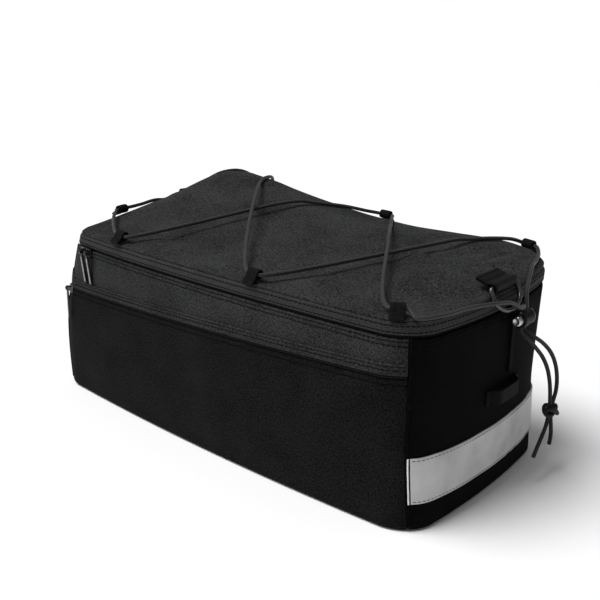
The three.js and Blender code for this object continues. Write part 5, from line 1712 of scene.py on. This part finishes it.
lamp_from, lamp_to = place_on_end(LAMP_Y - LAMP_WIDTH / 2), place_on_end(LAMP_Y + LAMP_WIDTH / 2)
lamp_places = np.linspace(lamp_from, lamp_to, 90)
inside = np.minimum(lamp_places - lamp_from, lamp_to - lamp_places) / (lamp_to - lamp_from) / LAMP_END
stand = LAMP_STAND * np.sin(np.clip(inside - LAMP_SEWN, 0, 1) * np.pi / 2)
lamp_line = cloth_wall(lamp_places, np.full(90, LAMP_Z), GAP + WEBBING_THICK / 2 + stand)
lamp_out = unit(np.cross(UP, -tangents_of(lamp_line)))
lamp = sweep("lamp_strap", lamp_line, UP, lamp_out, flat_section(LAMP_HEIGHT, WEBBING_THICK))
dress(lamp, WEBBING, ["lamp_loop"])
lamp_rows = np.linspace(LAMP_Z - LAMP_SEWN_REACH, LAMP_Z + LAMP_SEWN_REACH, 14)
for end_name, place in (("near", lamp_from + LAMP_SEWN_IN), ("far", lamp_to - LAMP_SEWN_IN)):
    stitch_on_wall(f"lamp_stitches_{end_name}", np.full(14, place), lambda u: lamp_rows, GAP + WEBBING_THICK,
                   pitch=LAMP_STITCH_PITCH)
print("lamp loop", round(float(lengths_along(lamp_line)[-1]), 4), "m long")

# %% [markdown]
# ## Sliders and pulls
# The zip sliders and their pulls are small hard castings, and their solids already have the right shape.
# They stay, with a bevel that catches the light along each edge. A bevel modifier leaves the solid's own
# mesh as it is. Each pull is lacquered black, and a raised strip of bright bare metal runs down its
# middle. The strip stands in for the highlight along the pull: a painted highlight, laid on the face
# from the pin's hinge downwards.

# %% Sliders and pulls
PULLS = {
    "main_zip_pull_1": "main_pull_1", "main_zip_pull_2": "main_pull_2",
    "pocket_zip_pull": "pocket_pull",
}
PULL_THICK = 0.0014
HIGHLIGHT_RIDGE = 0.0011
HIGHLIGHT_RIDGE_FROM, HIGHLIGHT_RIDGE_SHORT = 0.0042, 0.0012
HIGHLIGHT_RIDGE_FLAT = 0.8
FAR_END = 0.9
MOSTLY_SIDEWAYS = 0.2
EDGE_BEVEL = 0.00022

for node_name, node in nodes.items():
    if "slider" in node_name or "pull" in node_name:
        node.data.materials.clear()
        node.data.materials.append(DARK_ZINC if "slider" in node_name else LACQUER)
        edge_bevel = node.modifiers.new("edge", "BEVEL")
        edge_bevel.width = EDGE_BEVEL
        edge_bevel.segments = 2
        edge_bevel.limit_method = "ANGLE"

# %% Painted highlight strips of the pulls
hinges = {joint["child"]: joint for joint in frame["joints"]}
for node_name, body_name in PULLS.items():
    pin = np.array(hinges[body_name]["pos_m"])
    axis = np.array(hinges[body_name]["axis"])
    points = np.array([v.co for v in nodes[node_name].data.vertices])
    reach = points - pin
    distance = np.linalg.norm(reach, axis=1)
    far = reach[distance > FAR_END * distance.max()].mean(axis=0)
    down = unit(far - axis * (far @ axis))
    face = np.cross(axis, down)
    face = face * np.sign(face @ [pin[0] * MOSTLY_SIDEWAYS, pin[1], 0])
    run = np.linspace(HIGHLIGHT_RIDGE_FROM, np.linalg.norm(far) - HIGHLIGHT_RIDGE_SHORT, 24)[:, None]
    highlight_ridge_line = pin + run * down + face * (PULL_THICK / 2)
    # painted highlight: a bright metal strip that stands for the highlight along the pull
    highlight_ridge = sweep(f"{body_name}_ridge", highlight_ridge_line, axis, face, flat_section(HIGHLIGHT_RIDGE, HIGHLIGHT_RIDGE * HIGHLIGHT_RIDGE_FLAT))
    dress(highlight_ridge, ZINC, body=body_name)
print("hard parts kept", [n for n, o in nodes.items() if not o.hide_render])

# %% [markdown]
# ## Floor and light
# The bag stands on a plain pale floor under one broad soft sun from above the pocket side and the front,
# so that the lid is the lightest face, the long side comes next and the rear end falls into deep shade.
# One weak panel on the pocket side keeps the hems of that side readable.

# %% Floor and lights
FLOOR_REACH, FLOOR_DROP = 90, 0.0006
SUN_FROM = (-0.30, -0.34, 0.88)
SUN_WIDTH, SUN_STRENGTH = 35, 3.3
PANEL_PLACE, PANEL_TARGET = (-1.3, -1.6, 0.8), (0, 0, 0.08)
PANEL_SIZE, PANEL_POWER = 0.9, 5.0
SKY_STRENGTH = 0.28

floor_corners = [(x * FLOOR_REACH, y * FLOOR_REACH, 0) for x, y in ((-1, -1), (1, -1), (1, 1), (-1, 1))]
floor = add_mesh("floor", floor_corners, [(0, 1, 2, 3)])
floor.location.z = -FLOOR_DROP
floor_material, kit, links = new_material("floor_paper")
floor_shader = shader_of(kit, links, Roughness=0.9, Specular_IOR_Level=0.2)
floor_tone = noise_node(kit, links, kit.new("ShaderNodeTexCoord").outputs["Object"], 0.6)
links.new(ramp_node(kit, links, floor_tone, [(0.3, 0.84), (0.7, 0.87)]), floor_shader.inputs["Base Color"])
floor.data.materials.append(floor_material)


def light_from(name, kind, power, direction):
    """A light that shines along a direction."""
    light = bpy.data.objects.new(name, bpy.data.lights.new(name, kind))
    light.data.energy = power
    light.rotation_euler = Vector(direction).to_track_quat("-Z", "Y").to_euler()
    bpy.context.scene.collection.objects.link(light)
    return light


panel = light_from("side", "AREA", PANEL_POWER, Vector(PANEL_TARGET) - Vector(PANEL_PLACE))
panel.location = PANEL_PLACE
panel.data.shape = "SQUARE"
panel.data.size = PANEL_SIZE
sun = light_from("sun", "SUN", SUN_STRENGTH, -Vector(SUN_FROM))
sun.data.angle = math.radians(SUN_WIDTH)

world = bpy.data.worlds.new("studio")
world.use_nodes = True
sky = world.node_tree.nodes["Background"]
sky.inputs["Color"].default_value = (1, 1, 1, 1)
sky.inputs["Strength"].default_value = SKY_STRENGTH
bpy.context.scene.world = world
bpy.context.scene.view_settings.view_transform = "Standard"
